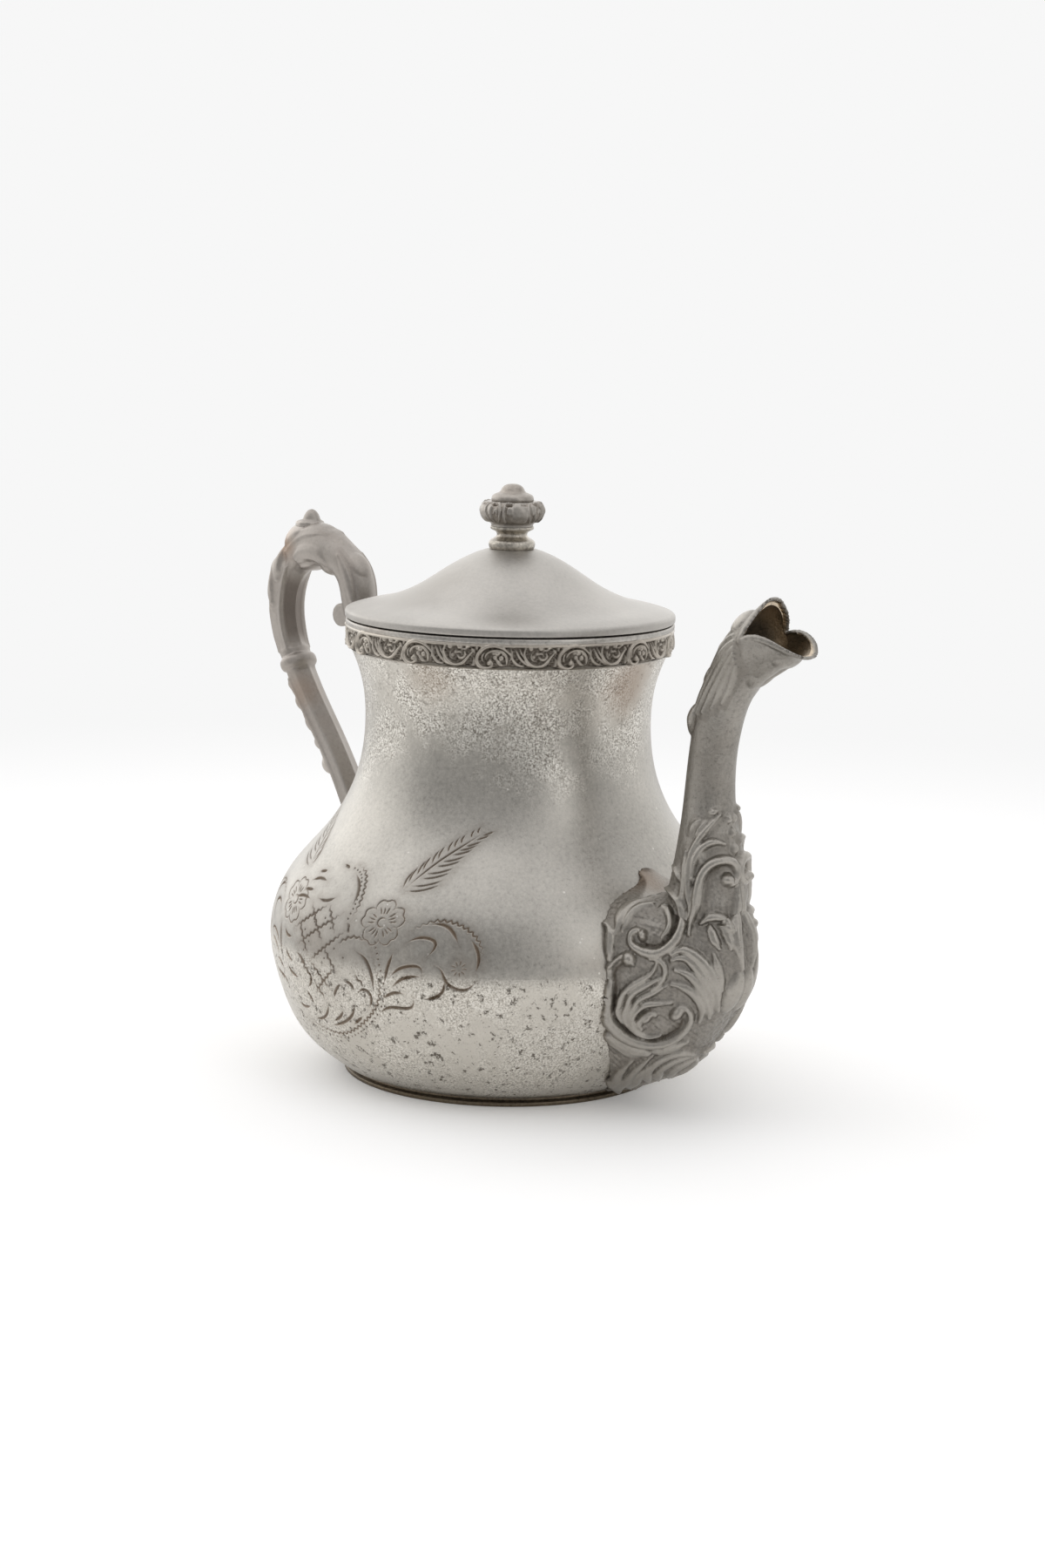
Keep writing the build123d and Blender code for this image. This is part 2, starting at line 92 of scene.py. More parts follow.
def spline(points, step):
    """Evenly spaced points on the smooth line through a few given ones."""
    points = np.array(points, float)
    if len(points) < 3:
        count = max(int(np.linalg.norm(points[-1] - points[0]) / step), 1) + 1
        return points[0] + np.linspace(0, 1, count)[:, None] * (points[-1] - points[0])
    knot = np.r_[0, np.cumsum(np.linalg.norm(np.diff(points, axis=0), axis=1))]
    gap = np.diff(knot)
    count = len(points)
    matrix = np.eye(count)
    right = np.zeros(points.shape)
    for k in range(1, count - 1):
        matrix[k, k - 1:k + 2] = gap[k - 1], 2 * (gap[k - 1] + gap[k]), gap[k]
        right[k] = 6 * ((points[k + 1] - points[k]) / gap[k]
                        - (points[k] - points[k - 1]) / gap[k - 1])
    bend = np.linalg.solve(matrix, right)
    many = np.linspace(0, knot[-1], max(int(knot[-1] / step * 4), 8))
    k = np.clip(np.searchsorted(knot, many, side="right") - 1, 0, count - 2)
    h = gap[k][:, None]
    a = (knot[k + 1] - many)[:, None] / h
    b = 1 - a
    line = (a * points[k] + b * points[k + 1]
            + ((a ** 3 - a) * bend[k] + (b ** 3 - b) * bend[k + 1]) * h * h / 6)
    length = np.r_[0, np.cumsum(np.linalg.norm(np.diff(line, axis=0), axis=1))]
    even = np.linspace(0, length[-1], max(int(round(length[-1] / step)), 2) + 1)
    return np.stack([np.interp(even, length, line[:, i]) for i in range(line.shape[1])], 1)


def arc_length(line):
    return np.r_[0, np.cumsum(np.linalg.norm(np.diff(line, axis=0), axis=1))]


def soft_step(value, low, high):
    t = np.clip((value - low) / (high - low), 0, 1)
    return t * t * (3 - 2 * t)


def wobble(places, size, seed):
    """Gentle unevenness between -1 and 1, with swells about a given size apart."""
    rng = np.random.default_rng(seed)
    total = np.zeros(len(places))
    for _ in range(9):
        way = rng.normal(size=places.shape[1])
        way /= np.linalg.norm(way)
        pitch = size * rng.uniform(0.7, 1.6)
        total += np.sin(places @ way * (2 * math.pi / pitch) + rng.uniform(0, 2 * math.pi))
    return total / 4.5


# How close the veins of cast ribs lie, and how far a graver's stroke is looked for
VEIN_PITCH = 1.15
CUT_REACH = 3.5


class Relief:
    """Heights of raised or cut ornament over a skin's flat chart, in millimetres."""

    def __init__(self, places, softness=0.5, veins=0.0):
        self.places = places
        self.softness = softness
        self.veins = veins
        self.height = np.zeros(len(places))
        self.edge = np.full(len(places), 99.0)

    def near(self, points, reach):
        """The places near a line: their index, distance, share of the way and side."""
        line = spline(points, 0.6)
        low, high = line.min(0) - reach, line.max(0) + reach
        index = np.nonzero(((self.places > low) & (self.places < high)).all(1))[0]
        here = self.places[index]
        best = np.full(len(index), 1e9)
        share = np.zeros(len(index))
        side = np.zeros(len(index))
        for k in range(len(line) - 1):
            run = line[k + 1] - line[k]
            size = max(run @ run, 1e-9)
            off = here - line[k]
            t = np.clip(off @ run / size, 0, 1)
            gap = off - t[:, None] * run
            far = np.hypot(gap[:, 0], gap[:, 1])
            closer = far < best
            best[closer] = far[closer]
            share[closer] = (k + t[closer]) / (len(line) - 1)
            side[closer] = (run[0] * off[closer, 1] - run[1] * off[closer, 0]) / math.sqrt(size)
        keep = best < reach
        self.edge[index] = np.minimum(self.edge[index], best)
        return index[keep], best[keep], share[keep], side[keep]

    def rib(self, points, width, height):
        """A rounded bead along a line, thinner towards its ends."""
        index, far, share, side = self.near(points, width)
        size = 0.5 + 0.5 * soft_step(np.minimum(share, 1 - share), 0, 0.3)
        round_over = np.clip(1 - (far / (width / 2 * size)) ** 2, 0, 1) ** self.softness
        rise = height * (0.35 + 0.65 * size) * round_over
        rise += self.veins * np.cos(2 * math.pi * side / VEIN_PITCH) * round_over
        self.height[index] = np.maximum(self.height[index], rise)

    def dome(self, centre, radii, height):
        off = (self.places - centre) / radii
        round_over = np.clip(1 - (off ** 2).sum(1), 0, 1) ** self.softness
        self.height = np.maximum(self.height, height * round_over)

    def cut(self, points, width, depth):
        """A graver's stroke: a V-shaped groove that swells and dies away."""
        index, far, share, _ = self.near(points, CUT_REACH)
        size = 0.15 + 0.85 * soft_step(np.minimum(share, 1 - share), 0, 0.35)
        sunk = depth * size * np.clip(1 - far / (width / 2 * size), 0, 1)
        self.height[index] = np.minimum(self.height[index], -sunk)

    def groove(self, points, width, depth):
        """A groove that follows a raised form and is taken off its height."""
        index, far, share, _ = self.near(points, width)
        ends = np.sqrt(np.clip(np.sin(math.pi * share), 0, 1))
        self.height[index] -= depth * ends * np.clip(1 - (far / (width / 2)) ** 2, 0, 1)


def stand_in(node, name, mesh, finish, angle):
    """A new named piece that shows in place of one node and rides on its body."""
    made = bpy.data.objects.new(name, mesh)
    bpy.context.scene.collection.objects.link(made)
    mesh.shade_smooth()
    mesh.set_sharp_from_angle(angle=math.radians(angle))
    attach(made, frame["nodes"][node]["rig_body"])
    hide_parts(node)
    mesh.materials.clear()
    mesh.materials.append(finish)


def turned(loop, azimuths, push):
    """A closed outline turned about the pot's axis: points and faces.

    push gives how far each point moves out along the outline's normal."""
    loop = np.array(loop, float)
    rows, columns = len(loop), len(azimuths)
    ahead = np.roll(loop, -1, 0) - np.roll(loop, 1, 0)
    out = np.stack([ahead[:, 1], -ahead[:, 0]], 1)
    out /= np.linalg.norm(out, axis=1, keepdims=True) + 1e-9
    turn, row = np.meshgrid(azimuths, np.arange(rows), indexing="ij")
    move = push(turn.ravel(), row.ravel()).reshape(turn.shape)
    radius = loop[row, 0] + out[row, 0] * move
    height = loop[row, 1] + out[row, 1] * move
    places = np.stack([radius * np.sin(turn), -radius * np.cos(turn), height], -1)
    here = np.arange(columns)[:, None] * rows + np.arange(rows)[None, :]
    next_column = np.roll(here, -1, 0)
    faces = np.stack([here, next_column, np.roll(next_column, -1, 1), np.roll(here, -1, 1)], -1)
    return places.reshape(-1, 3), faces.reshape(-1, 4)


def even_turn(count):
    return np.linspace(0, 2 * math.pi, count, endpoint=False)


def inset(line, distance):
    """A line moved to its left side by a wall's thickness."""
    ahead = np.gradient(line, axis=0)
    ahead /= np.linalg.norm(ahead, axis=1, keepdims=True)
    return line + distance * np.stack([-ahead[:, 1], ahead[:, 0]], 1)


# Finishes

class Value:
    """A number that varies over a surface; arithmetic on it adds Math nodes."""

    def __init__(self, finish, socket):
        self.finish = finish
        self.socket = socket

    def sum(self, operation, *values):
        return self.finish.node("ShaderNodeMath", {"operation": operation},
                                dict(enumerate(values)))

    def __add__(self, other):
        return self.sum("ADD", self, other)

    def __radd__(self, other):
        return self.sum("ADD", other, self)

    def __sub__(self, other):
        return self.sum("SUBTRACT", self, other)

    def __rsub__(self, other):
        return self.sum("SUBTRACT", other, self)

    def __mul__(self, other):
        return self.sum("MULTIPLY", self, other)

    def __rmul__(self, other):
        return self.sum("MULTIPLY", other, self)

    def larger(self, other):
        return self.sum("MAXIMUM", self, other)

    def between(self, low, high):
        """0 below low, 1 above high and smooth in between."""
        return self.finish.node("ShaderNodeMapRange", {"interpolation_type": "SMOOTHSTEP"},
                                {"Value": self, "From Min": low, "From Max": high})


class Finish:
    """One procedural material."""

    def __init__(self, name):
        self.material = bpy.data.materials.new(name)
        self.material.use_nodes = True
        self.tree = self.material.node_tree
        self.tree.nodes.clear()
        self.place = self.node("ShaderNodeTexCoord", output="Object")

    def node(self, kind, settings=None, sockets=None, output=0):
        made = self.tree.nodes.new(kind)
        for name, value in (settings or {}).items():
            if name == "stops":
                self.set_stops(made.color_ramp, value)
            else:
                setattr(made, name, value)
        for name, value in (sockets or {}).items():
            if isinstance(value, Value):
                self.tree.links.new(value.socket, made.inputs[name])
            else:
                made.inputs[name].default_value = value
        return Value(self, made.outputs[output])

    def set_stops(self, ramp, stops):
        ramp.elements.remove(ramp.elements[1])
        ramp.elements[0].position = stops[0][0]
        ramp.elements[0].color = (*stops[0][1], 1)
        for position, colour in stops[1:]:
            ramp.elements.new(position).color = (*colour, 1)

    def moved(self, shift):
        return self.node("ShaderNodeMapping", None,
                         {"Vector": self.place, "Location": (shift,) * 3})

    def noise(self, scale, detail, rough, shift=0.0):
        """Cloudy marks, scale per metre, between about 0.3 and 0.7."""
        return self.node("ShaderNodeTexNoise", None,
                         {"Vector": self.moved(shift), "Scale": scale, "Detail": detail,
                          "Roughness": rough})

    def specks(self, scale, shift):
        """Distance to scattered points, 0 at each point."""
        return self.node("ShaderNodeTexVoronoi", None,
                         {"Vector": self.moved(shift), "Scale": scale}, output="Distance")

    def height(self):
        return self.node("ShaderNodeSeparateXYZ", None, {"Vector": self.place}, output="Z")

    def mark(self, name):
        """A value that the mesh holds at each of its points."""
        return self.node("ShaderNodeAttribute", {"attribute_name": name}, output="Fac")

    def blend(self, factor, low, high):
        """One colour over another."""
        made = self.tree.nodes.new("ShaderNodeMix")
        made.data_type = "RGBA"
        for socket, value in ((made.inputs[0], factor), (made.inputs[6], low),
                              (made.inputs[7], high)):
            if isinstance(value, Value):
                self.tree.links.new(value.socket, socket)
            elif isinstance(value, tuple):
                socket.default_value = (*value, 1)
            else:
                socket.default_value = value
        return Value(self, made.outputs[2])

    def bump(self, height, distance, strength):
        return self.node("ShaderNodeBump", None,
                         {"Height": height, "Distance": distance, "Strength": strength},
                         output="Normal")

    def finish(self, colour, roughness, metallic, normal):
        shader = self.node("ShaderNodeBsdfPrincipled", None,
                           {"Base Color": colour, "Roughness": roughness,
                            "Metallic": metallic, "Normal": normal}, output="BSDF")
        self.node_output(shader)
        return self.material

    def node_output(self, shader):
        out = self.tree.nodes.new("ShaderNodeOutputMaterial")
        self.tree.links.new(shader.socket, out.inputs["Surface"])


def shaded(colour, by):
    return tuple(min(part * by, 1.0) for part in colour)


def pewter(name, base, rough, pits=0.5, mottle=0.5, tint=(0.30, 0.20, 0.12), stain=0.3,
           grime_and_shade=None, dirt_and_shade=0.75, wear=None, rubbed=0.35, shift=0.0, spots=(), surface=None,
           grit=0.12):
    """Aged pewter: cloudy grey, fine pits, brown in the hollows, bright where it is rubbed.
    The darkening mark holds dirt in the hollows and cuts, and painted shade where a casting puts it
    in.

    spots are patches of another colour, as (middle in mm, reach in mm, colour, strength); the
    near-black one at the spout's web corner is painted shade."""
    f = Finish(name)
    cloud = f.noise(28, 5, 0.6, shift=shift)
    fine = f.noise(900, 4, 0.7, shift=shift + 3)
    grain = f.noise(1900, 2, 0.6, shift=shift + 7)
    colour = f.blend(cloud.between(0.35, 0.68) * mottle + 0.5 * (1 - mottle),
                     shaded(base, 0.72), shaded(base, 1.3))
    colour = f.blend(fine.between(0.46, 0.62) * (0.6 * mottle), colour, shaded(base, 1.6))
    colour = f.blend(fine.between(0.44, 0.34) * (0.8 * pits), colour, shaded(base, 0.35))
    warm = f.noise(17, 4, 0.6, shift=shift + 11).between(0.50, 0.72)
    colour = f.blend(warm * stain, colour, tint)
    roughness = rough + (fine - 0.5) * 0.25 + warm * 0.1
    relief = fine * 0.6 + grain * 0.4
    if surface is not None:
        colour, roughness, relief = surface(f, cloud, colour, roughness, relief)
    if wear is not None:
        raised = f.mark(wear)
        colour = f.blend(raised.between(0.35, 1.0) * rubbed, colour, shaded(base, 1.55))
        roughness = roughness - raised.between(0.5, 1.0) * 0.08
    # Darkened towards the tint by a mark: dirt in hollows and cuts, plus painted shade that the
    # castings add to their hollow mark
    if grime_and_shade is not None:
        hollow = f.mark(grime_and_shade)
        colour = f.blend(hollow * dirt_and_shade, colour, shaded(tint, 0.45))
        roughness = roughness + hollow * 0.2
    for middle, reach, stain_colour, strength in spots:
        away = f.node("ShaderNodeVectorMath", {"operation": "DISTANCE"},
                      {0: f.place, 1: [part * MM for part in middle]}, output="Value")
        reach = reach * MM
        edge = away + (cloud - 0.5) * reach
        colour = f.blend(edge.between(reach, reach * 0.2) * strength, colour, stain_colour)
    normal = f.bump(relief, grit * MM, 0.5)
    return f.finish(colour, roughness, 1.0, normal)


def bore_surface(f, cloud, colour, roughness, relief):
    """The bore of a casting, bare and tanned by what it has poured; the tan is made paler than the
    stain, as painted light in the dim inside.
    """
    bore = f.mark("bore")
    # Painted light: a pale tan, lighter than the stain alone, so the dim bore reads bright
    tan_and_painted_light = f.blend(cloud, (0.50, 0.42, 0.32), (0.75, 0.63, 0.48))
    return f.blend(bore, colour, tan_and_painted_light), roughness.between(0, 1) * (1 - bore * 0.2), relief


# Heights, in metres, over which the worn neck and the pitted belly set in
NECK_EDGE = (0.090, 0.112)
BELLY_EDGE = (0.0460, 0.0415)


def body_surface(f, cloud, colour, roughness, relief):
    """The body's own ageing: salt-and-pepper neck, dark smooth waist, pitted bright belly."""
    height = f.height()
    patchy = f.noise(48, 5, 0.65, shift=21)
    colour = f.blend(f.mark("near_cut") * 0.35, colour, (0.20, 0.175, 0.15))
    neck = (height + (patchy - 0.5) * 0.05).between(*NECK_EDGE)
    belly = (height + (patchy - 0.5) * 0.006).between(*BELLY_EDGE)
    pale = f.noise(1700, 3, 0.8, shift=31)
    worn = (neck * 0.85 + belly * 0.5 + 0.04) * patchy.between(0.36, 0.56)
    colour = f.blend(belly.larger(neck * 0.7) * 0.6, colour, (0.60, 0.565, 0.50))
    colour = f.blend(pale.between(0.49, 0.57) * worn, colour, (0.86, 0.83, 0.77))
    colour = f.blend(pale.between(0.47, 0.40) * worn, colour, (0.17, 0.15, 0.125))
    pit = f.noise(430, 5, 0.75, shift=41)
    pits = pit.between(0.43, 0.37) * (belly * 0.9 + neck * 0.35)
    gouge = f.noise(150, 4, 0.65, shift=43).between(0.36, 0.31) * belly
    hole = pits.larger(gouge)
    colour = f.blend(hole * 0.85, colour, (0.085, 0.07, 0.053))
    dust = f.specks(260, shift=3).between(0.11, 0.06) * patchy.between(0.5, 0.6)
    colour = f.blend(dust * 0.8, colour, (0.85, 0.83, 0.79))
    waist = (1 - neck) * (1 - belly)
    roughness = roughness + hole * 0.3 + worn * 0.05 + dust * 0.3 + waist * 0.07
    return colour, roughness, relief + worn * pale * 1.2 - hole * 1.6


# Body: the turned shells with their engraved cuts

COLLAR = [(BODY_TOP_RADIUS, z) for z in np.linspace(BODY_OUTLINE[-1][1], BODY_TOP, 27)[1:]]
body_line = np.concatenate([spline(BODY_OUTLINE, 0.25), COLLAR])
body_arc = arc_length(body_line)
BELLY_ARC = float(np.interp(BELLY_HEIGHT, body_line[:, 1], body_arc))
BODY_LOW = -BELLY_ARC
BODY_HIGH = float(body_arc[-1]) - BELLY_ARC
MOTIF_MIDDLE = -4.0
# Depth of a stroke of this width; wider strokes are deeper, up to a width of 1
CUT_WIDTH = 0.75
CUT_DEPTH = 0.34
# The wall's net: its pitch away from cuts, and how near to a cut it is split again
NET_PITCH = 1.7
NET_SPLITS = (3.2, 1.7, 0.9)
INNER_COLUMNS = 150
# Made-up unevenness of the spun wall: how deep and how far apart
DENT_DEPTH = 0.05
DENT_SPREAD = 34.0
# The strainer's drills: sides of each, and where they run from and to
DRILL_SIDES = 20
DRILL_RUN = (50.0, 80.0)

# Engraving, as (along the wall towards the spout, up the wall from its widest part).
# The points from FERN_STEM to SCROLL_BORDER, the FLOWER and the SCROLL_EYE were picked by eye
# in the photograph and turned into these millimetres by a separate mapping script, so they
# are that script's output. The rest was listed one by one.
FERN_STEM = [(18.6, 24.3), (24.1, 35.4), (33.4, 45.4)]
SCROLLS = [
    [(31.4, 14.6), (35.3, 15.0), (39.2, 13.0), (42.1, 9.2)],
    [(44.8, 11.4), (47.6, 8.4), (48.8, 5.1), (48.2, 1.3)],
    [(36.1, 3.2), (38.3, 1.7), (39.6, -1.0), (42.2, -3.1), (45.6, -3.4), (48.9, -0.4)],
    [(39.3, -0.4), (38.9, -4.2), (36.2, -6.4), (32.3, -7.3)],
    [(26.2, 8.5), (28.7, 10.1), (32.1, 10.7), (35.2, 9.3), (34.5, 6.5), (33.0, 4.9)],
    [(22.0, -2.2), (25.0, 0.7), (28.6, 2.1), (32.3, 1.6), (32.7, -0.5)],
    [(22.8, -5.0), (26.4, -1.9), (32.7, -0.5)],
    [(19.4, -9.0), (23.5, -6.4), (27.0, -6.3)],
    [(16.8, -14.4), (21.6, -11.2), (28.9, -9.9), (30.0, -6.5)],
    [(20.6, -4.1), (21.8, 1.7), (23.0, 5.8)],
]
CRESCENTS = [
    [(-1.2, 27.1), (2.1, 24.3), (4.0, 20.3), (4.1, 16.9)],
    [(9.5, 4.3), (13.7, 2.3), (16.0, -1.3), (16.6, -7.7)],
    [(0.3, -12.1), (1.4, -9.7), (4.4, -6.4)],
    [(5.7, -5.6), (7.9, -5.8), (9.6, -8.1)],
    [(10.4, -8.9), (12.9, -6.9), (14.9, -7.6), (15.3, -10.0), (13.8, -13.0)],
    [(8.9, -11.1), (7.6, -14.8), (4.1, -18.4), (-4.7, -22.2)],
    [(3.6, -14.9), (1.5, -17.6), (-2.4, -20.0)],
    [(-2.6, -13.7), (-4.2, -17.2), (-7.6, -20.2), (-12.3, -21.2)],
    [(6.5, -19.4), (11.0, -15.8)],
    [(-13.1, -11.9), (-10.4, -16.0)],
    [(-9.7, -5.2), (-9.6, -8.2), (-11.9, -10.9)],
    [(-17.3, -0.9), (-14.4, -2.1), (-11.7, -4.2)],
    [(-26.7, 4.7), (-24.3, 2.9), (-20.7, 3.1)],
    [(-25.2, -0.8), (-22.2, -3.7), (-19.6, -4.4)],
    [(-24.2, -6.0), (-21.8, -7.9), (-16.7, -8.9)],
    [(-33.3, -10.7), (-29.1, -12.1)],
    [(-20.8, -17.3), (-18.1, -18.4), (-12.9, -17.3)],
    [(-7.8, 29.0), (-4.7, 28.2)],
    [(-18.1, 24.3), (-14.3, 25.4)],
    [(-19.7, 20.8), (-16.0, 22.4), (-11.3, 22.2)],
    [(-21.7, 17.7), (-15.8, 18.5)],
    [(-25.1, 14.3), (-20.3, 15.7), (-15.4, 15.4)],
    [(-11.7, 16.5), (-7.6, 16.5), (-3.6, 18.3)],
]
LATTICE = [
    [(-20.1, 5.5), (-5.2, 15.8)], [(-17.5, 0.8), (2.5, 14.5)], [(-10.6, -3.0), (5.4, 9.6)],
    [(-9.0, -12.5), (3.1, -1.1)], [(-18.3, 9.7), (-10.0, -1.2)], [(-14.0, 15.1), (-3.3, 3.6)],
    [(-5.2, 15.8), (0.8, 7.7)], [(4.6, 11.8), (6.6, 8.6)], [(-16.8, -0.5), (-7.8, -8.5)],
    [(-10.0, -1.2), (0.1, -9.7)], [(-3.3, 3.6), (3.4, -4.2)], [(9.7, -2.8), (13.7, -6.0)],
    [(-8.2, -8.0), (-3.5, -13.2)], [(2.1, 4.5), (8.2, 8.1), (13.4, 7.4)],
]
BORDERS = [
    [(-21.2, -20.1), (-14.9, -22.5), (-7.0, -24.0), (0.4, -23.7), (7.3, -20.4),
     (14.0, -14.9), (18.0, -9.3), (18.9, -4.4), (17.7, 0.1), (15.6, 5.4), (14.9, 7.1)],
    [(-2.5, 30.0), (1.4, 28.7), (5.2, 23.2), (6.4, 17.0), (5.8, 12.6)],
]
SCROLL_BORDER = [(25.9, 11.3), (29.2, 14.0), (33.7, 16.0), (39.7, 15.4), (45.1, 12.8),
                 (48.9, 8.5), (49.8, 3.0)]
DIAMOND_DOTS = [(-13.5, 6.5), (-9.5, 9.5), (-5.0, 11.5), (-10.5, 3.5), (-6.0, 6.5), (-1.5, 9.0),
                (-13.0, 0.5), (-7.0, 0.5), (-2.5, 0.0), (-11.0, -4.5), (-5.5, -5.5), (1.5, 3.5),
                (-4.5, -9.5), (5.5, 1.5)]
FLOWER = (16.6, 13.6)
SCROLL_EYE = (43.4, 2.6)


def mirrored(points):
    """The motif's left flank, as the mirror image of its right."""
    return [(2 * MOTIF_MIDDLE - p, q) for p, q in points]


def tremolo(points, pitch=1.0, swing=0.42):
    """The wriggled line that a rocked graver leaves."""
    line = spline(points, pitch)
    ahead = np.gradient(line, axis=0)
    ahead /= np.linalg.norm(ahead, axis=1, keepdims=True)
    out = np.stack([-ahead[:, 1], ahead[:, 0]], 1)
    return line + out * swing * np.where(np.arange(len(line)) % 2, 1, -1)[:, None]


def beside(points, distance, pitch):
    """Points set off to one side of a line."""
    line = spline(points, pitch)
    return inset(line, distance)


def fern():
    """A stem with short cuts that shrink towards its tip."""
    cuts = [(FERN_STEM, 0.7)]
    stem = spline(FERN_STEM, 1.0)
    count = 11
    for k in range(count):
        share = k / (count - 1)
        start = stem[int((0.02 + 0.93 * share) * (len(stem) - 1))]
        reach = 10.5 - 6.5 * share
        cuts.append(([start + (0.6, -0.2), start + (reach * 0.5, 0.6),
                      start + (reach, 3.4 - 1.8 * share)], 0.7))
        cuts.append(([start + (-0.5, 0.4), start + (-1.1, reach * 0.34),
                      start + (-0.4 - 0.2 * share, reach * 0.70)], 0.65))
    return cuts


def flower():
    """Five round petals, each with a few cuts from the middle."""
    cuts = []
    middle = np.array(FLOWER)
    for k in range(5):
        way = math.radians(90 + 72 * k + 8)
        out = np.array([math.cos(way), math.sin(way)])
        side = np.array([-out[1], out[0]])
        cuts.append(([middle + 2.4 * out + 1.9 * side, middle + 5.0 * out + 3.1 * side,
                      middle + 7.0 * out + 1.2 * side, middle + 6.6 * out,
                      middle + 7.0 * out - 1.2 * side, middle + 5.0 * out - 3.1 * side,
                      middle + 2.4 * out - 1.9 * side], 0.55))
        for lean in (-0.32, 0.0, 0.32):
            ray = out + lean * side
            cuts.append(([middle + 2.0 * ray, middle + 4.9 * ray], 0.6))
    ring = [middle + 1.4 * np.array([math.cos(t), math.sin(t)])
            for t in np.linspace(0, 2 * math.pi, 9)]
    cuts.append((ring, 0.6))
    return cuts


def fringe(centre, inner, outer, count):
    """Short cuts round an eye."""
    cuts = []
    for k in range(count):
        way = 2 * math.pi * k / count
        ray = np.array([math.cos(way), math.sin(way)])
        cuts.append(([np.array(centre) + inner * ray, np.array(centre) + outer * ray], 0.5))
    return cuts


def engraved_cuts():
    """Every cut of the motif, as (points, width)."""
    side = fern() + [(points, 1.2) for points in SCROLLS]
    side += fringe(SCROLL_EYE, 0.7, 2.6, 9)
    side.append((tremolo(SCROLL_BORDER), 0.7))
    side += flower()
    cuts = side + [(mirrored(points), width) for points, width in side]
    cuts += [(points, 1.2) for points in CRESCENTS]
    cuts += [(tremolo(points), 0.75) for points in LATTICE]
    cuts += [(points, 0.55) for points in LATTICE]
    cuts += [(tremolo(points), 0.7) for points in BORDERS]
    dots = list(DIAMOND_DOTS)
    for points in BORDERS:
        dots += list(beside(points, -1.5, 1.7))
    for dot in dots:
        cuts.append(([np.array(dot) - (0.3, 0.1), np.array(dot) + (0.3, 0.1)], 0.8))
    return cuts


CUTS = engraved_cuts()


def fold(turn):
    """The motif is on both sides: the far side's turn as if it were the near side's."""
    return np.where(turn > math.pi / 2, math.pi - turn, turn)


def body_chart(turn, q):
    radius = np.interp(q + BELLY_ARC, body_arc, body_line[:, 0])
    return np.stack([fold(turn) * radius, q], 1)


def body_relief(turn, q):
    relief = Relief(body_chart(turn, q))
    for points, width in CUTS:
        relief.cut(points, width, CUT_DEPTH * min(width, 1.0) / CUT_WIDTH)
    return relief


def skin_net(low, high, coarse, reaches):
    """A flat net over the wall, split finer near the cuts: its places and faces."""
    net = bmesh.new()
    columns = int(round(2 * math.pi * BODY_OUTLINE[3][0] / coarse))
    rows = max(int(round((high - low) / coarse)), 1)
    bmesh.ops.create_grid(net, x_segments=columns, y_segments=rows, size=0.5)
    for vert in net.verts:
        vert.co = ((vert.co.x + 0.25) * 2 * math.pi, low + (vert.co.y + 0.5) * (high - low), 0)
    for reach in reaches:
        middles = np.array([face.calc_center_median()[:2] for face in net.faces])
        edge = body_relief(middles[:, 0], middles[:, 1]).edge
        chosen = {e for face, far in zip(net.faces, edge) if far < reach for e in face.edges}
        bmesh.ops.subdivide_edges(net, edges=list(chosen), cuts=1, use_grid_fill=True)
    bmesh.ops.triangulate(net, faces=[face for face in net.faces if len(face.verts) > 4])
    net.verts.index_update()
    places = np.array([vert.co[:2] for vert in net.verts])
    faces = [[vert.index for vert in face.verts] for face in net.faces]
    net.free()
    return places, faces


def stitch(turns_a, ring_a, turns_b, ring_b):
    """Triangles between two rings of points whose counts differ."""
    order_a, order_b = np.argsort(turns_a), np.argsort(turns_b)
    turns_a, ring_a = turns_a[order_a], ring_a[order_a]
    turns_b, ring_b = turns_b[order_b], ring_b[order_b]
    faces, i, j = [], 0, 0
    count_a, count_b = len(ring_a), len(ring_b)
    while i < count_a or j < count_b:
        next_a = turns_a[i + 1] if i + 1 < count_a else turns_a[0] + 2 * math.pi
        next_b = turns_b[j + 1] if j + 1 < count_b else turns_b[0] + 2 * math.pi
        if j >= count_b or (i < count_a and next_a <= next_b):
            faces.append((ring_a[i % count_a], ring_a[(i + 1) % count_a], ring_b[j % count_b]))
            i += 1
        else:
            faces.append((ring_a[i % count_a], ring_b[(j + 1) % count_b], ring_b[j % count_b]))
            j += 1
    return faces


def body_points(turn, q, push):
    reach = q + BELLY_ARC
    radius = np.interp(reach, body_arc, body_line[:, 0])
    height = np.interp(reach, body_arc, body_line[:, 1])
    slope = np.gradient(body_line, axis=0)
    slope /= np.linalg.norm(slope, axis=1, keepdims=True)
    radius = radius + push * np.interp(reach, body_arc, slope[:, 1])
    height = height - push * np.interp(reach, body_arc, slope[:, 0])
    return np.stack([radius * np.sin(turn), -radius * np.cos(turn), height], 1)


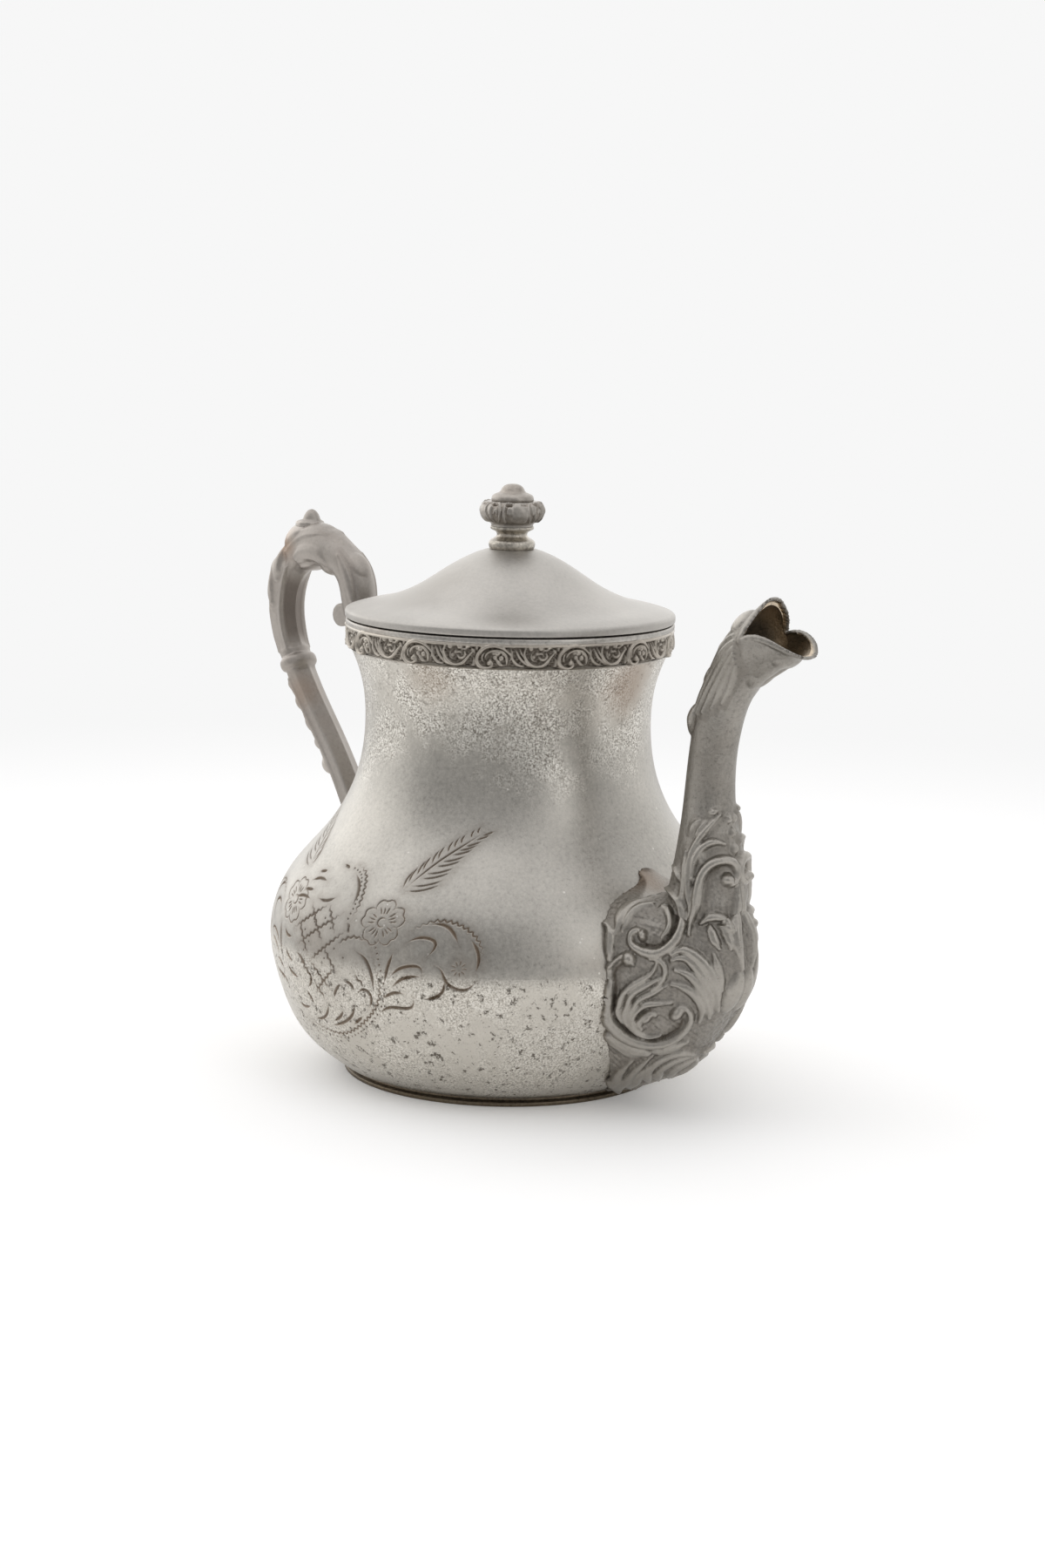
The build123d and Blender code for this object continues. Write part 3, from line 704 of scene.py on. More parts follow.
def make_shell(name, low, high, end_rows):
    """One spun shell: its engraved outside, then the wall's inside as a ring of rows."""
    chart, faces = skin_net(low, high, NET_PITCH, NET_SPLITS)
    turn, q = chart[:, 0], chart[:, 1]
    relief = body_relief(turn, q)
    dents = DENT_DEPTH * wobble(body_points(turn, q, 0.0), DENT_SPREAD, 3)
    ends = soft_step(q - low, 0, 3) * soft_step(high - q, 0, 3) * (np.abs(q) > 3)
    outside = body_points(turn, q, relief.height + dents * ends)
    turns = even_turn(INNER_COLUMNS) - math.pi / 2
    inner_q = np.linspace(high, low, end_rows)
    rows = []
    for row_q in inner_q:
        rows.append(body_points(turns, np.full(INNER_COLUMNS, row_q), -BODY_WALL))
    flat_top = rows[0].copy()
    flat_bottom = rows[-1].copy()
    flat_top[:, 2] = outside[np.abs(q - high) < 1e-4, 2].mean()
    flat_bottom[:, 2] = outside[np.abs(q - low) < 1e-4, 2].mean()
    rows[0], rows[-1] = flat_top, flat_bottom
    points = np.concatenate([outside] + rows)
    base = len(outside)
    grid = base + np.arange(end_rows * INNER_COLUMNS).reshape(end_rows, INNER_COLUMNS)
    next_column = np.roll(grid, -1, 1)
    inner = np.stack([grid[:-1], next_column[:-1], next_column[1:], grid[1:]], -1)
    faces += [list(face) for face in inner.reshape(-1, 4)]
    seam_free = turn < 1.5 * math.pi - 1e-5
    for edge_q, ring in ((high, grid[0]), (low, grid[-1])):
        rim = np.nonzero((np.abs(q - edge_q) < 1e-4) & seam_free)[0]
        faces += [list(face) for face in stitch(turn[rim], rim, turns, ring)]
    return welded(name, points, faces)


def welded(name, points, faces):
    """A closed mesh with doubled points joined and its faces turned outwards."""
    mesh = bpy.data.meshes.new(name)
    mesh.from_pydata(points * MM, [], faces)
    net = bmesh.new()
    net.from_mesh(mesh)
    bmesh.ops.remove_doubles(net, verts=net.verts, dist=1e-7)
    bmesh.ops.recalc_face_normals(net, faces=net.faces)
    net.to_mesh(mesh)
    net.free()
    return mesh


def mesh_points(mesh):
    found = np.zeros(len(mesh.vertices) * 3)
    mesh.vertices.foreach_get("co", found)
    return found.reshape(-1, 3) / MM


def put_mark(mesh, name, values):
    layer = mesh.attributes.get(name) or mesh.attributes.new(name, "FLOAT", "POINT")
    layer.data.foreach_set("value", np.asarray(values, np.float32))


def mark_body(mesh):
    """Dirt lies in the cuts."""
    points = mesh_points(mesh)
    radius = np.hypot(points[:, 0], points[:, 1])
    turn = np.arctan2(points[:, 0], -points[:, 1])
    turn = np.where(turn < -math.pi / 2, turn + 2 * math.pi, turn)
    q = np.interp(points[:, 2], body_line[:, 1], body_arc) - BELLY_ARC
    relief = body_relief(turn, q)
    skin = radius > np.interp(q + BELLY_ARC, body_arc, body_line[:, 0]) - 0.7 * BODY_WALL
    cut = np.clip(-1.7 * relief.height / CUT_DEPTH, 0, 1) * skin
    put_mark(mesh, "cut", cut)
    put_mark(mesh, "near_cut", np.exp(-(relief.edge / 1.6) ** 2) * skin)


def drill_strainer(mesh):
    """Cuts the strainer's holes through the wall behind the spout."""
    sides, faces, points = DRILL_SIDES, [], []
    places = [(0.0, 0.0)]
    for ring_number in (1, 2):
        for step in range(6 * ring_number):
            way = 2 * math.pi * step / (6 * ring_number)
            places.append((ring_number * STRAINER_PITCH * math.cos(way),
                           ring_number * STRAINER_PITCH * math.sin(way)))
    for y, z in places:
        base = len(points)
        for x in DRILL_RUN:
            for k in range(sides):
                way = 2 * math.pi * k / sides
                points.append((x, y + STRAINER_HOLE_RADIUS * math.cos(way),
                               STRAINER_HEIGHT + z + STRAINER_HOLE_RADIUS * math.sin(way)))
        ring = list(range(base, base + sides))
        faces += [ring, [i + sides for i in ring]]
        faces += [[ring[k], ring[(k + 1) % sides], ring[(k + 1) % sides] + sides, ring[k] + sides]
                  for k in range(sides)]
    return boolean(mesh, welded("drills", np.array(points), faces), "DIFFERENCE")


def boolean(mesh, tool, operation):
    """One mesh cut by another."""
    base = bpy.data.objects.new("base", mesh)
    cutter = bpy.data.objects.new("cutter", tool)
    for each in (base, cutter):
        bpy.context.scene.collection.objects.link(each)
    modifier = base.modifiers.new("cut", "BOOLEAN")
    modifier.operation = operation
    modifier.solver = "MANIFOLD"
    modifier.object = cutter
    made = baked(base)
    bpy.data.objects.remove(cutter)
    return made


def baked(holder):
    """The mesh of an object with its modifiers applied; the object goes."""
    graph = bpy.context.evaluated_depsgraph_get()
    made = bpy.data.meshes.new_from_object(holder.evaluated_get(graph))
    bpy.data.objects.remove(holder)
    return made


def make_body():
    lower = make_shell("lower_shell_engraved", BODY_LOW, 0.0, 14)
    lower = drill_strainer(lower)
    upper = make_shell("upper_shell_engraved", 0.0, BODY_HIGH, 24)
    for node, mesh in (("lower_shell", lower), ("upper_shell", upper)):
        mark_body(mesh)
        stand_in(node, node + "_engraved", mesh, SPUN, 35)


# Castings: the spout and the handle, each two halves that meet at a seam

VOXEL = 0.36
SPOUT_LINE = [(80.0, 48.0), (82.6, 62.0), (83.0, 75.0), (82.5, 87.0), (82.4, 99.0),
              (83.4, 111.0), (86.0, 121.5), (90.6, 130.6), (98.0, 139.3), (104.5, 144.1),
              (111.0, 147.3)]
HANDLE_LINE = [(-42.0, 124.0), (-50.0, 125.0), (-60.0, 128.6), (-67.6, 136.0), (-69.6, 144.6),
               (-75.8, 151.6), (-86.0, 154.2), (-96.8, 150.6), (-102.6, 140.4),
               (-102.8, 129.0), (-98.4, 117.6), (-90.2, 104.8), (-80.8, 92.6), (-72.4, 80.6),
               (-65.8, 69.4), (-59.6, 61.0)]
WEB_CORNER = (57.6, 0.0, 70.0)
MOUTH_EDGE = [(103.9, 154.9), (101.6, 149.0), (100.2, 143.4)]
MOUTH_LIP = [(100.2, 143.4), (103.4, 145.0), (107.5, 144.9), (112.8, 142.6), (117.8, 139.6)]
# The root's chart: height, the chart axis's reach and the chart's radius
ROOT_CHART = [(3.4, 49.5, 5.5), (10.0, 56.0, 13.0), (22.0, 62.4, 20.7), (36.0, 66.0, 26.0),
              (50.0, 66.5, 28.5), (58.0, 70.0, 24.0), (68.0, 82.0, 12.0), (150.0, 82.0, 12.0)]
ROOT_TOP = 93.0
STEM_CHART_RADIUS = 7.5
HANDLE_CHART_RADIUS = 5.5
# Below this height the spout's skin is told from its bore by the root's chart
STEM_CHART_FROM = 66.0
# Where the handle's collar is along it, and how far it reaches either way
HANDLE_COLLAR = 107.5
COLLAR_REACH = 7.0

# Ornament on the spout's root, as (round from the front seam, height): line, width, rise.
# Nearly all of these points are the mapping script's output too.
ROOT_RIBS = [
    ([(26.6, 69.1), (19.3, 67.1), (17.4, 62.9), (17.9, 58.5), (21.0, 54.8), (25.9, 52.2),
      (32.1, 52.5), (35.7, 54.8), (35.0, 57.1), (32.3, 57.7), (30.1, 56.4)], 2.7, 1.5),
    ([(27.0, 64.1), (23.4, 62.9), (21.8, 59.8), (24.1, 56.8)], 1.9, 1.0),
    ([(43.2, 58.8), (42.2, 56.6), (43.0, 53.2), (43.4, 48.0)], 2.6, 1.2),
    ([(40.7, 56.5), (38.7, 60.2), (35.2, 63.7), (32.6, 65.8)], 1.9, 0.9),
    ([(38.4, 57.3), (36.2, 61.0), (33.4, 63.5), (30.6, 64.4)], 1.7, 0.8),
    ([(34.3, 48.4), (36.2, 50.5), (40.5, 49.6), (42.4, 45.9), (40.7, 41.2), (39.6, 35.8),
      (36.2, 31.3), (29.8, 27.0), (23.6, 24.8), (16.9, 24.4), (12.4, 26.3), (10.7, 29.7),
      (11.2, 33.6), (13.5, 36.4), (15.7, 36.9), (17.0, 35.3), (15.3, 33.4)], 2.3, 1.7),
    ([(26.0, 50.4), (26.7, 47.2), (31.4, 43.4), (35.8, 38.9), (35.7, 34.6), (31.5, 30.8)],
     2.1, 1.0),
    ([(23.0, 45.7), (28.4, 42.5), (33.0, 38.6), (32.7, 33.6), (27.7, 28.8)], 2.0, 0.95),
    ([(21.7, 42.9), (25.8, 40.3), (30.6, 36.9), (30.5, 33.2), (26.5, 28.9)], 1.9, 0.9),
    ([(18.7, 38.0), (23.2, 37.4), (28.3, 35.9), (29.2, 32.6), (25.6, 28.4), (20.7, 26.6),
      (17.4, 27.5)], 2.0, 1.2),
    ([(22.2, 33.8), (25.0, 33.9), (26.4, 31.9), (24.1, 29.1)], 2.2, 1.3),
    ([(28.9, 50.2), (25.3, 50.2), (22.8, 48.1), (24.3, 42.7), (26.1, 41.5)], 1.8, 1.1),
    ([(21.1, 52.1), (17.2, 53.7), (13.3, 52.0), (10.0, 48.2), (7.0, 42.4), (4.8, 36.1)],
     2.6, 1.2),
    ([(21.1, 50.5), (16.8, 51.3), (13.2, 48.7), (9.9, 44.7), (7.7, 40.0), (6.2, 34.9)],
     2.3, 1.0),
    ([(19.5, 47.7), (15.6, 46.8), (11.7, 43.5), (8.6, 38.7), (6.1, 33.6)], 2.2, 1.0),
    ([(19.9, 43.6), (15.5, 42.7), (11.5, 39.9), (8.7, 35.6), (8.1, 32.3)], 2.2, 0.9),
    ([(15.1, 57.9), (14.3, 62.1), (12.8, 67.9), (12.0, 73.4), (9.7, 77.6), (5.9, 79.2),
      (1.7, 78.2), (0.6, 75.1), (3.1, 72.3), (5.2, 73.5)], 2.5, 1.6),
    ([(17.1, 59.8), (14.9, 64.9), (15.4, 69.8), (16.2, 76.3), (15.5, 81.3), (13.0, 85.3),
      (9.3, 89.2), (5.6, 91.9)], 2.1, 1.0),
    ([(19.1, 64.9), (17.5, 69.5), (17.7, 75.5), (18.0, 81.0)], 1.8, 0.9),
    ([(24.2, 76.2), (20.2, 74.1), (18.4, 72.7)], 1.9, 0.9),
    ([(14.5, 74.3), (14.1, 79.2), (12.0, 82.6), (7.8, 84.4), (4.1, 83.7)], 2.0, 1.1),
    ([(9.4, 92.5), (6.5, 93.3)], 1.8, 0.8),
    ([(17.5, 87.1), (16.0, 88.9), (13.5, 90.1)], 1.5, 0.6),
    ([(14.7, 86.2), (13.2, 88.0), (11.0, 90.0)], 1.5, 0.6),
    ([(11.3, 61.3), (9.5, 63.0), (6.6, 63.3), (4.2, 61.4), (3.9, 59.3)], 2.3, 1.4),
    ([(8.8, 60.8), (8.5, 57.7), (7.4, 54.5)], 2.2, 1.0),
    ([(6.1, 60.3), (4.9, 57.7), (4.6, 54.5)], 2.0, 1.0),
    ([(8.7, 52.8), (7.6, 48.3), (5.5, 42.4)], 2.0, 0.9),
    ([(0.8, 72.0), (0.8, 69.9), (1.1, 64.9), (2.5, 59.3), (2.4, 52.7), (1.5, 48.6)], 2.2, 1.2),
    ([(33.7, 26.1), (28.7, 23.9), (22.9, 21.6), (17.0, 20.9)], 3.6, 1.3),
    ([(16.2, 22.0), (12.2, 22.9), (8.2, 25.3)], 3.2, 1.2),
    ([(10.3, 5.5), (17.9, 12.6), (19.1, 17.4)], 2.4, 1.0),
    ([(4.5, 3.6), (13.6, 11.2), (14.8, 16.9), (15.1, 20.3)], 2.3, 1.1),
    ([(0.2, 4.5), (11.7, 13.1), (11.5, 18.6)], 2.2, 1.1),
    ([(5.4, 9.8), (11.1, 16.2), (9.9, 20.1), (3.2, 20.8)], 2.2, 1.2),
    ([(2.9, 10.5), (7.5, 15.5), (6.2, 18.5), (2.1, 20.3)], 2.0, 1.1),
    ([(0.9, 11.5), (3.1, 15.2), (0.3, 18.5)], 2.0, 1.1),
]
# Round bosses: place, radii, rise
ROOT_BOSSES = [
    ((31.2, 56.7), (1.7, 1.6), 1.9),
    ((36.4, 49.9), (2.6, 2.2), 2.1), ((15.9, 34.9), (2.1, 2.0), 2.1),
    ((24.6, 32.6), (1.6, 1.6), 1.7), ((4.1, 73.8), (1.9, 1.8), 2.0),
    ((1.9, 41.2), (2.6, 6.4), 1.7), ((4.3, 60.0), (1.5, 1.5), 1.7),
    ((11.8, 79.9), (1.0, 1.6), 0.6), ((1.5, 90.7), (1.6, 1.5), 1.2),
    ((0.0, 86.7), (1.4, 1.6), 1.2), ((0.0, 82.2), (1.5, 1.8), 1.2),
]
SCROLL_GROOVES = [
    [(24.0, 67.2), (20.2, 65.2), (19.3, 62.0), (19.9, 58.8), (22.4, 55.9), (26.3, 54.0),
     (31.2, 54.4)],
    [(38.5, 48.4), (40.6, 46.0), (39.2, 41.6), (38.0, 36.4), (35.0, 32.4), (29.2, 28.6),
     (23.2, 26.4), (17.4, 26.0), (14.0, 27.6), (12.6, 30.0), (13.0, 33.0)],
    [(13.6, 62.0), (12.0, 68.0), (11.0, 72.8), (9.0, 76.2), (5.6, 77.6)],
]
# On the stem, as (along the stem, round from its back)
STEM_RIBS = [
    ([(98.0, 9.5), (90.0, 8.0), (80.0, 6.4), (70.0, 5.4)], 2.1, 1.0),
    ([(97.0, 10.6), (89.0, 9.8), (80.0, 8.8), (72.0, 8.0)], 1.8, 0.8),
    ([(96.0, 11.6), (88.0, 11.6), (80.0, 11.2), (73.5, 10.6)], 1.8, 0.8),
    ([(95.0, 12.6), (88.0, 13.4), (82.0, 13.6), (76.0, 13.2)], 1.8, 0.8),
    ([(94.0, 13.6), (88.0, 15.0), (84.0, 15.6), (79.0, 15.6)], 1.7, 0.7),
    ([(98.0, 8.0), (90.0, 5.4), (80.0, 3.6), (71.0, 2.6)], 2.2, 1.0),
    ([(98.0, 6.4), (88.0, 2.4), (78.0, 0.8)], 2.2, 0.9),
]
STEM_BOSSES = [
    ((69.5, 4.6), (4.2, 3.0), 1.9), ((81.5, 3.2), (3.2, 2.6), 1.4),
    ((90.5, 3.0), (3.2, 2.8), 1.3), ((99.5, 3.2), (3.6, 3.6), 1.9),
    ((99.0, 23.6), (9.5, 5.0), 0.9), ((92.0, 22.4), (4.0, 3.6), 0.8),
    ((105.0, 22.6), (3.6, 3.6), 1.1),
]
STEM_GROOVES = [
    [(74.5, 6.4), (72.0, 7.4), (68.5, 7.2), (65.5, 5.4)],
    [(106.0, 22.5), (99.0, 23.4), (90.0, 23.4)],
]
# On the handle, as (along it from the neck, round from its inner side)
HANDLE_RIBS = [
    ([(46.0, 11.2), (38.0, 10.6), (30.0, 11.4)], 1.8, 0.9),
    ([(70.0, 10.0), (62.0, 12.5), (54.0, 14.0)], 2.6, 0.7),
    ([(66.0, 6.0), (58.0, 7.0), (49.0, 6.0)], 3.4, 1.2),
    ([(72.0, 6.6), (80.0, 6.2), (92.0, 6.3), (104.0, 6.6)], 1.3, 0.9),
    ([(103.0, 12.5), (95.0, 13.5), (86.0, 12.5)], 2.6, 1.0),
    ([(88.0, 10.0), (82.0, 12.5), (76.0, 15.5)], 2.8, 1.6),
    ([(80.0, 8.6), (75.0, 11.0), (70.0, 14.0)], 2.8, 1.6),
    ([(165.0, 11.5), (150.0, 11.0), (132.0, 10.6), (113.0, 10.6)], 1.4, 0.9),
    ([(113.0, 11.2), (118.0, 13.6), (124.0, 12.2)], 1.6, 1.2),
    ([(126.0, 11.6), (130.0, 14.2), (136.0, 12.6)], 1.6, 1.2),
    ([(140.0, 11.4), (144.0, 13.6), (150.0, 12.6)], 1.6, 1.2),
]
HANDLE_BOSSES = [
    ((62.5, 16.6), (6.5, 4.6), 1.7), ((66.5, 16.0), (5.0, 5.0), 3.9),
    ((50.0, 1.8), (4.0, 3.5), 1.9),
    ((63.5, 2.5), (4.5, 3.5), 1.9), ((77.0, 14.0), (3.2, 2.8), 2.0),
    ((85.0, 14.5), (3.4, 2.8), 1.8), ((114.5, 14.0), (1.9, 2.8), 2.0),
    ((121.0, 14.2), (2.6, 2.8), 2.3), ((129.0, 14.2), (2.8, 2.8), 2.2),
    ((136.5, 14.0), (2.4, 2.8), 2.3), ((144.5, 14.2), (3.2, 3.2), 3.8),
    ((41.5, 16.8), (3.0, 3.6), 1.4),
]
HANDLE_GROOVES = [
    [(47.0, 12.4), (40.0, 12.0), (30.0, 12.9)],
    [(73.5, 5.5), (72.5, 8.0), (69.5, 10.5), (66.5, 12.5)],
    [(84.0, 9.6), (79.0, 11.8)], [(90.0, 9.4), (88.5, 12.4)],
    [(72.0, 3.8), (64.0, 4.4), (56.0, 4.2), (49.0, 4.4)],
    [(118.0, 13.0), (118.4, 14.6), (118.5, 17.2)], [(126.0, 13.0), (126.0, 17.2)],
    [(134.0, 13.0), (133.6, 17.2)], [(141.0, 13.0), (140.6, 17.2)],
]
# The thumb knob takes no relief and is trimmed all round, above its foot
THUMB_KNOB_X = -91.4
THUMB_FOOT = 161.6
THUMB_TRIM = 0.25
# Hollows in the bend, as (place, radii, depth)
HANDLE_SINKS = [((71.5, 16.0), (5.5, 7.5), 2.0), ((48.5, 16.5), (9.0, 8.0), 1.7),
                ((72.0, 8.5), (2.6, 2.2), 0.6)]
# Flats of the handle's section: from and to, round from its inner side
HANDLE_FLATS = [(0.0, 6.4), (6.4, 11.0)]
SECTION_RADIUS = 5.2


def joined_casting(node):
    """The left half's skin and its mirror image, welded along the seam."""
    source = frame["nodes"][node].data
    net = bmesh.new()
    net.from_mesh(source)
    bmesh.ops.remove_doubles(net, verts=net.verts, dist=2e-6)
    seam = [face for face in net.faces if all(abs(vert.co.y) < 3e-6 for vert in face.verts)]
    bmesh.ops.delete(net, geom=seam, context="FACES")
    copy = bmesh.ops.duplicate(net, geom=net.verts[:] + net.edges[:] + net.faces[:])["geom"]
    flipped = [item for item in copy if isinstance(item, bmesh.types.BMFace)]
    for vert in (item for item in copy if isinstance(item, bmesh.types.BMVert)):
        vert.co.y = -vert.co.y
    bmesh.ops.reverse_faces(net, faces=flipped)
    bmesh.ops.remove_doubles(net, verts=net.verts, dist=3e-6)
    mesh = bpy.data.meshes.new(node)
    net.to_mesh(mesh)
    net.free()
    holder = bpy.data.objects.new("casting", mesh)
    bpy.context.scene.collection.objects.link(holder)
    modifier = holder.modifiers.new("even", "REMESH")
    modifier.mode = "VOXEL"
    modifier.voxel_size = VOXEL * MM
    return baked(holder)


def normals_of(mesh):
    found = np.zeros(len(mesh.vertices) * 3)
    mesh.vertex_normals.foreach_get("vector", found)
    return found.reshape(-1, 3)


def move_points(mesh, points):
    mesh.vertices.foreach_set("co", (points * MM).ravel())
    mesh.update()


def smoothed(mesh, values, rounds):
    """Values averaged with their neighbours along the edges."""
    ends = np.zeros(len(mesh.edges) * 2, int)
    mesh.edges.foreach_get("vertices", ends)
    a, b = ends.reshape(-1, 2).T
    count = np.bincount(np.r_[a, b], minlength=len(mesh.vertices)).astype(float)
    values = values.reshape(len(mesh.vertices), -1)
    for _ in range(rounds):
        total = np.stack([np.bincount(np.r_[a, b], np.r_[column[b], column[a]],
                                      minlength=len(count)) for column in values.T], 1)
        values = 0.5 * values + 0.5 * total / np.maximum(count, 1)[:, None]
    return values


def axis_chart(points, line, radius, back):
    """(along a curved axis, round from its back) for points beside it, and the way out."""
    line = spline(line, 0.5)
    reach = arc_length(line)
    side_view = points[:, [0, 2]]
    nearest = np.zeros(len(points), int)
    for start in range(0, len(points), 20000):
        part = side_view[start:start + 20000]
        gap = ((part[:, None, :] - line[None]) ** 2).sum(2)
        nearest[start:start + 20000] = gap.argmin(1)
    ahead = np.gradient(line, axis=0)
    ahead /= np.linalg.norm(ahead, axis=1, keepdims=True)
    behind = back * np.stack([-ahead[:, 1], ahead[:, 0]], 1)
    off = side_view - line[nearest]
    rear = (off * behind[nearest]).sum(1)
    along = reach[nearest] + (off * ahead[nearest]).sum(1)
    turn = np.arctan2(np.abs(points[:, 1]), rear)
    out = np.stack([rear * behind[nearest, 0], points[:, 1], rear * behind[nearest, 1]], 1)
    out /= np.linalg.norm(out, axis=1, keepdims=True) + 1e-9
    return np.stack([along, turn * radius], 1), out


def distance_to(points, line):
    line = spline(line, 0.4)
    return np.sqrt(((points[:, None, :] - line[None]) ** 2).sum(2).min(1))


def ornament(places, ribs, bosses, grooves, fullness=1.3, rise_by=1.0):
    """Soft cast ribs and bosses on a gentle swell, with finer grooves along the ribs."""
    relief = Relief(places, 0.7, 0.13 * rise_by)
    for points, width, rise in ribs:
        relief.rib(points, width * fullness, rise * rise_by)
    for centre, radii, rise in bosses:
        relief.dome(centre, np.array(radii) * 1.1, rise * rise_by)
    relief.height += 0.35 * rise_by * np.exp(-(relief.edge / 1.9) ** 2)
    for points, width, rise in ribs:
        if width > 1.7:
            relief.groove(points, 1.0, 0.24 * rise_by)
    for points in grooves:
        relief.groove(points, 1.2, 0.5 * rise_by)
    return relief


# The bore's tan, made paler as painted light, and the thinner lip set in from this place out along
# x
BORE_FROM = 96.0
LIP_THINNING = 0.9


def spout_relief(points, normals):
    """Heights of the spout's ornament, and how much of it each place carries."""
    height = points[:, 2]
    table = np.array(ROOT_CHART)
    axis = np.interp(height, table[:, 0], table[:, 1])
    radius = np.interp(height, table[:, 0], table[:, 2])
    off = points[:, 0] - axis
    out = np.stack([off, points[:, 1], np.zeros(len(points))], 1)
    out /= np.linalg.norm(out, axis=1, keepdims=True) + 1e-9
    places = np.stack([np.arctan2(np.abs(points[:, 1]), off) * radius, height], 1)
    root = ornament(places, ROOT_RIBS, ROOT_BOSSES, SCROLL_GROOVES, 1.25, 1.3)
    low_part = 1 - soft_step(height, ROOT_TOP, ROOT_TOP + 2)
    stem_places, stem_out = axis_chart(points, SPOUT_LINE, STEM_CHART_RADIUS, 1.0)
    stem = ornament(stem_places, STEM_RIBS, STEM_BOSSES, STEM_GROOVES)
    high_part = soft_step(height, ROOT_TOP + 8, ROOT_TOP + 12)
    facing = np.where(height < STEM_CHART_FROM, (normals * out).sum(1), (normals * stem_out).sum(1))
    outside = soft_step(facing, 0.05, 0.35)
    side_view = points[:, [0, 2]]
    lip = np.minimum(distance_to(side_view, MOUTH_EDGE), distance_to(side_view, MOUTH_LIP))
    roll = 0.7 * np.sqrt(np.clip(1 - (lip / 1.5) ** 2, 0, 1))
    stipple = 0.26 * np.clip(wobble(points, 1.3, 5), -1, 1) * (root.height < 0.45)
    stipple = stipple * (1 - soft_step(height, 70, 84))
    raised = root.height * low_part + stem.height * high_part
    edge = np.minimum(root.edge + 50 * (1 - low_part), stem.edge + 50 * (1 - high_part))
    corner = np.linalg.norm(points - WEB_CORNER, axis=1)
    nub = 1.5 * np.clip(1 - (corner / 2.6) ** 2, 0, 1)
    # Painted shade: the crease at the web corner is darkened through the hollow mark
    shade = 0.6 * np.exp(-(corner / 2.2) ** 2)
    bore = soft_step(-facing, 0.15, 0.5) * soft_step(points[:, 0], BORE_FROM, BORE_FROM + 6)
    height = (raised + stipple + roll + nub) * outside - LIP_THINNING * bore
    return height, raised * outside, edge, outside, shade, bore


def handle_relief(points, normals):
    places, out = axis_chart(points, HANDLE_LINE, HANDLE_CHART_RADIUS, 1.0)
    relief = ornament(places, HANDLE_RIBS, HANDLE_BOSSES, HANDLE_GROOVES, 1.5, 0.6)
    outside = soft_step((normals * out).sum(1), 0.05, 0.35)
    flats = np.zeros(len(points))
    for low, high in HANDLE_FLATS:
        turn = (places[:, 1] - (low + high) / 2) / HANDLE_CHART_RADIUS
        half = (high - low) / 2 / HANDLE_CHART_RADIUS
        inside = np.abs(turn) < half
        sunk = SECTION_RADIUS * (1 - math.cos(half) / np.cos(turn * inside))
        flats -= sunk * inside
    along = places[:, 0]
    plain = soft_step(along, 68, 74) * (1 - soft_step(along, 160, 168))
    plain = plain * (1 - soft_step(COLLAR_REACH - np.abs(along - HANDLE_COLLAR), 2, 4))
    raised = relief.height.copy()
    for centre, radii, depth in HANDLE_SINKS:
        off = (places - centre) / radii
        raised -= depth * np.exp(-(off ** 2).sum(1) * 1.6)
    thumb = soft_step(points[:, 2], THUMB_FOOT, THUMB_FOOT + 0.8)
    thumb *= 1 - soft_step(np.hypot(points[:, 0] - THUMB_KNOB_X, points[:, 1]), 3.8, 4.5)
    raised = raised * (1 - thumb) - THUMB_TRIM * thumb
    # Painted shade: the inner facet of the upper loop is darkened as if it mirrored the dark pot
    shade = soft_step(along, 74, 82) * (1 - soft_step(along, 98, 104))
    shade = 0.85 * shade * (1 - soft_step(places[:, 1], 4.2, 5.8)) * outside
    height = (raised + 0.8 * flats * plain) * outside
    return height, raised * outside, relief.edge, outside, shade, np.zeros(len(points))


def make_casting(nodes, names, relief_of, finish, dirty=1.0):
    """Both halves of a casting from one ornamented skin, parted at the seam."""
    mesh = joined_casting(nodes[0])
    points = smoothed(mesh, mesh_points(mesh), 2)
    move_points(mesh, points)
    normals = smoothed(mesh, normals_of(mesh), 3)
    normals /= np.linalg.norm(normals, axis=1, keepdims=True) + 1e-9
    height, raised, edge, outside, shade, bore = relief_of(points, normals)
    height = smoothed(mesh, height, 2)[:, 0]
    move_points(mesh, points + normals * height[:, None])
    put_mark(mesh, "rubbed", np.clip(raised / 1.3, 0, 1))
    put_mark(mesh, "bore", bore)
    hollow = np.exp(-np.clip(raised, 0, None) / 0.3) * soft_step(-edge, -4.2, -1.1) * outside
    hollow *= 0.45 + 0.55 * np.exp(-np.clip(edge, 0, None) / 0.8)
    # The hollow mark holds dirt in the hollows plus the painted shade that relief_of returns as
    # shade
    put_mark(mesh, "hollow", np.clip(dirty * hollow.clip(0, 1) + shade, 0, 1))
    for node, name, side in zip(nodes, names, (1, -1)):
        half = boolean(mesh.copy(), half_space(side), "INTERSECT")
        half.name = name
        stand_in(node, name, half, finish, 50)


def half_space(side):
    reach = 200.0
    corners = [(x, y, z) for x in (-reach, reach) for y in (0.0, side * reach)
               for z in (-reach, reach)]
    faces = [(0, 1, 3, 2), (4, 6, 7, 5), (0, 4, 5, 1), (2, 3, 7, 6), (0, 2, 6, 4), (1, 5, 7, 3)]
    return welded("half_space", np.array(corners), faces)


# Turned and cast trim

BAND_REPEATS = 13
BAND_UNIT = 2 * math.pi * BAND_RADIUS / BAND_REPEATS
BAND_HEIGHT = 7.4
BAND_PHASE = math.radians(-10.7)
BAND_GROUND = 48.85
BAND_RISE = 1.25
KNOB_REPEATS = 4
KNOB_RADIUS = 9.5
KNOB_UNIT = 2 * math.pi * KNOB_RADIUS / KNOB_REPEATS
COLUMN = 0.22

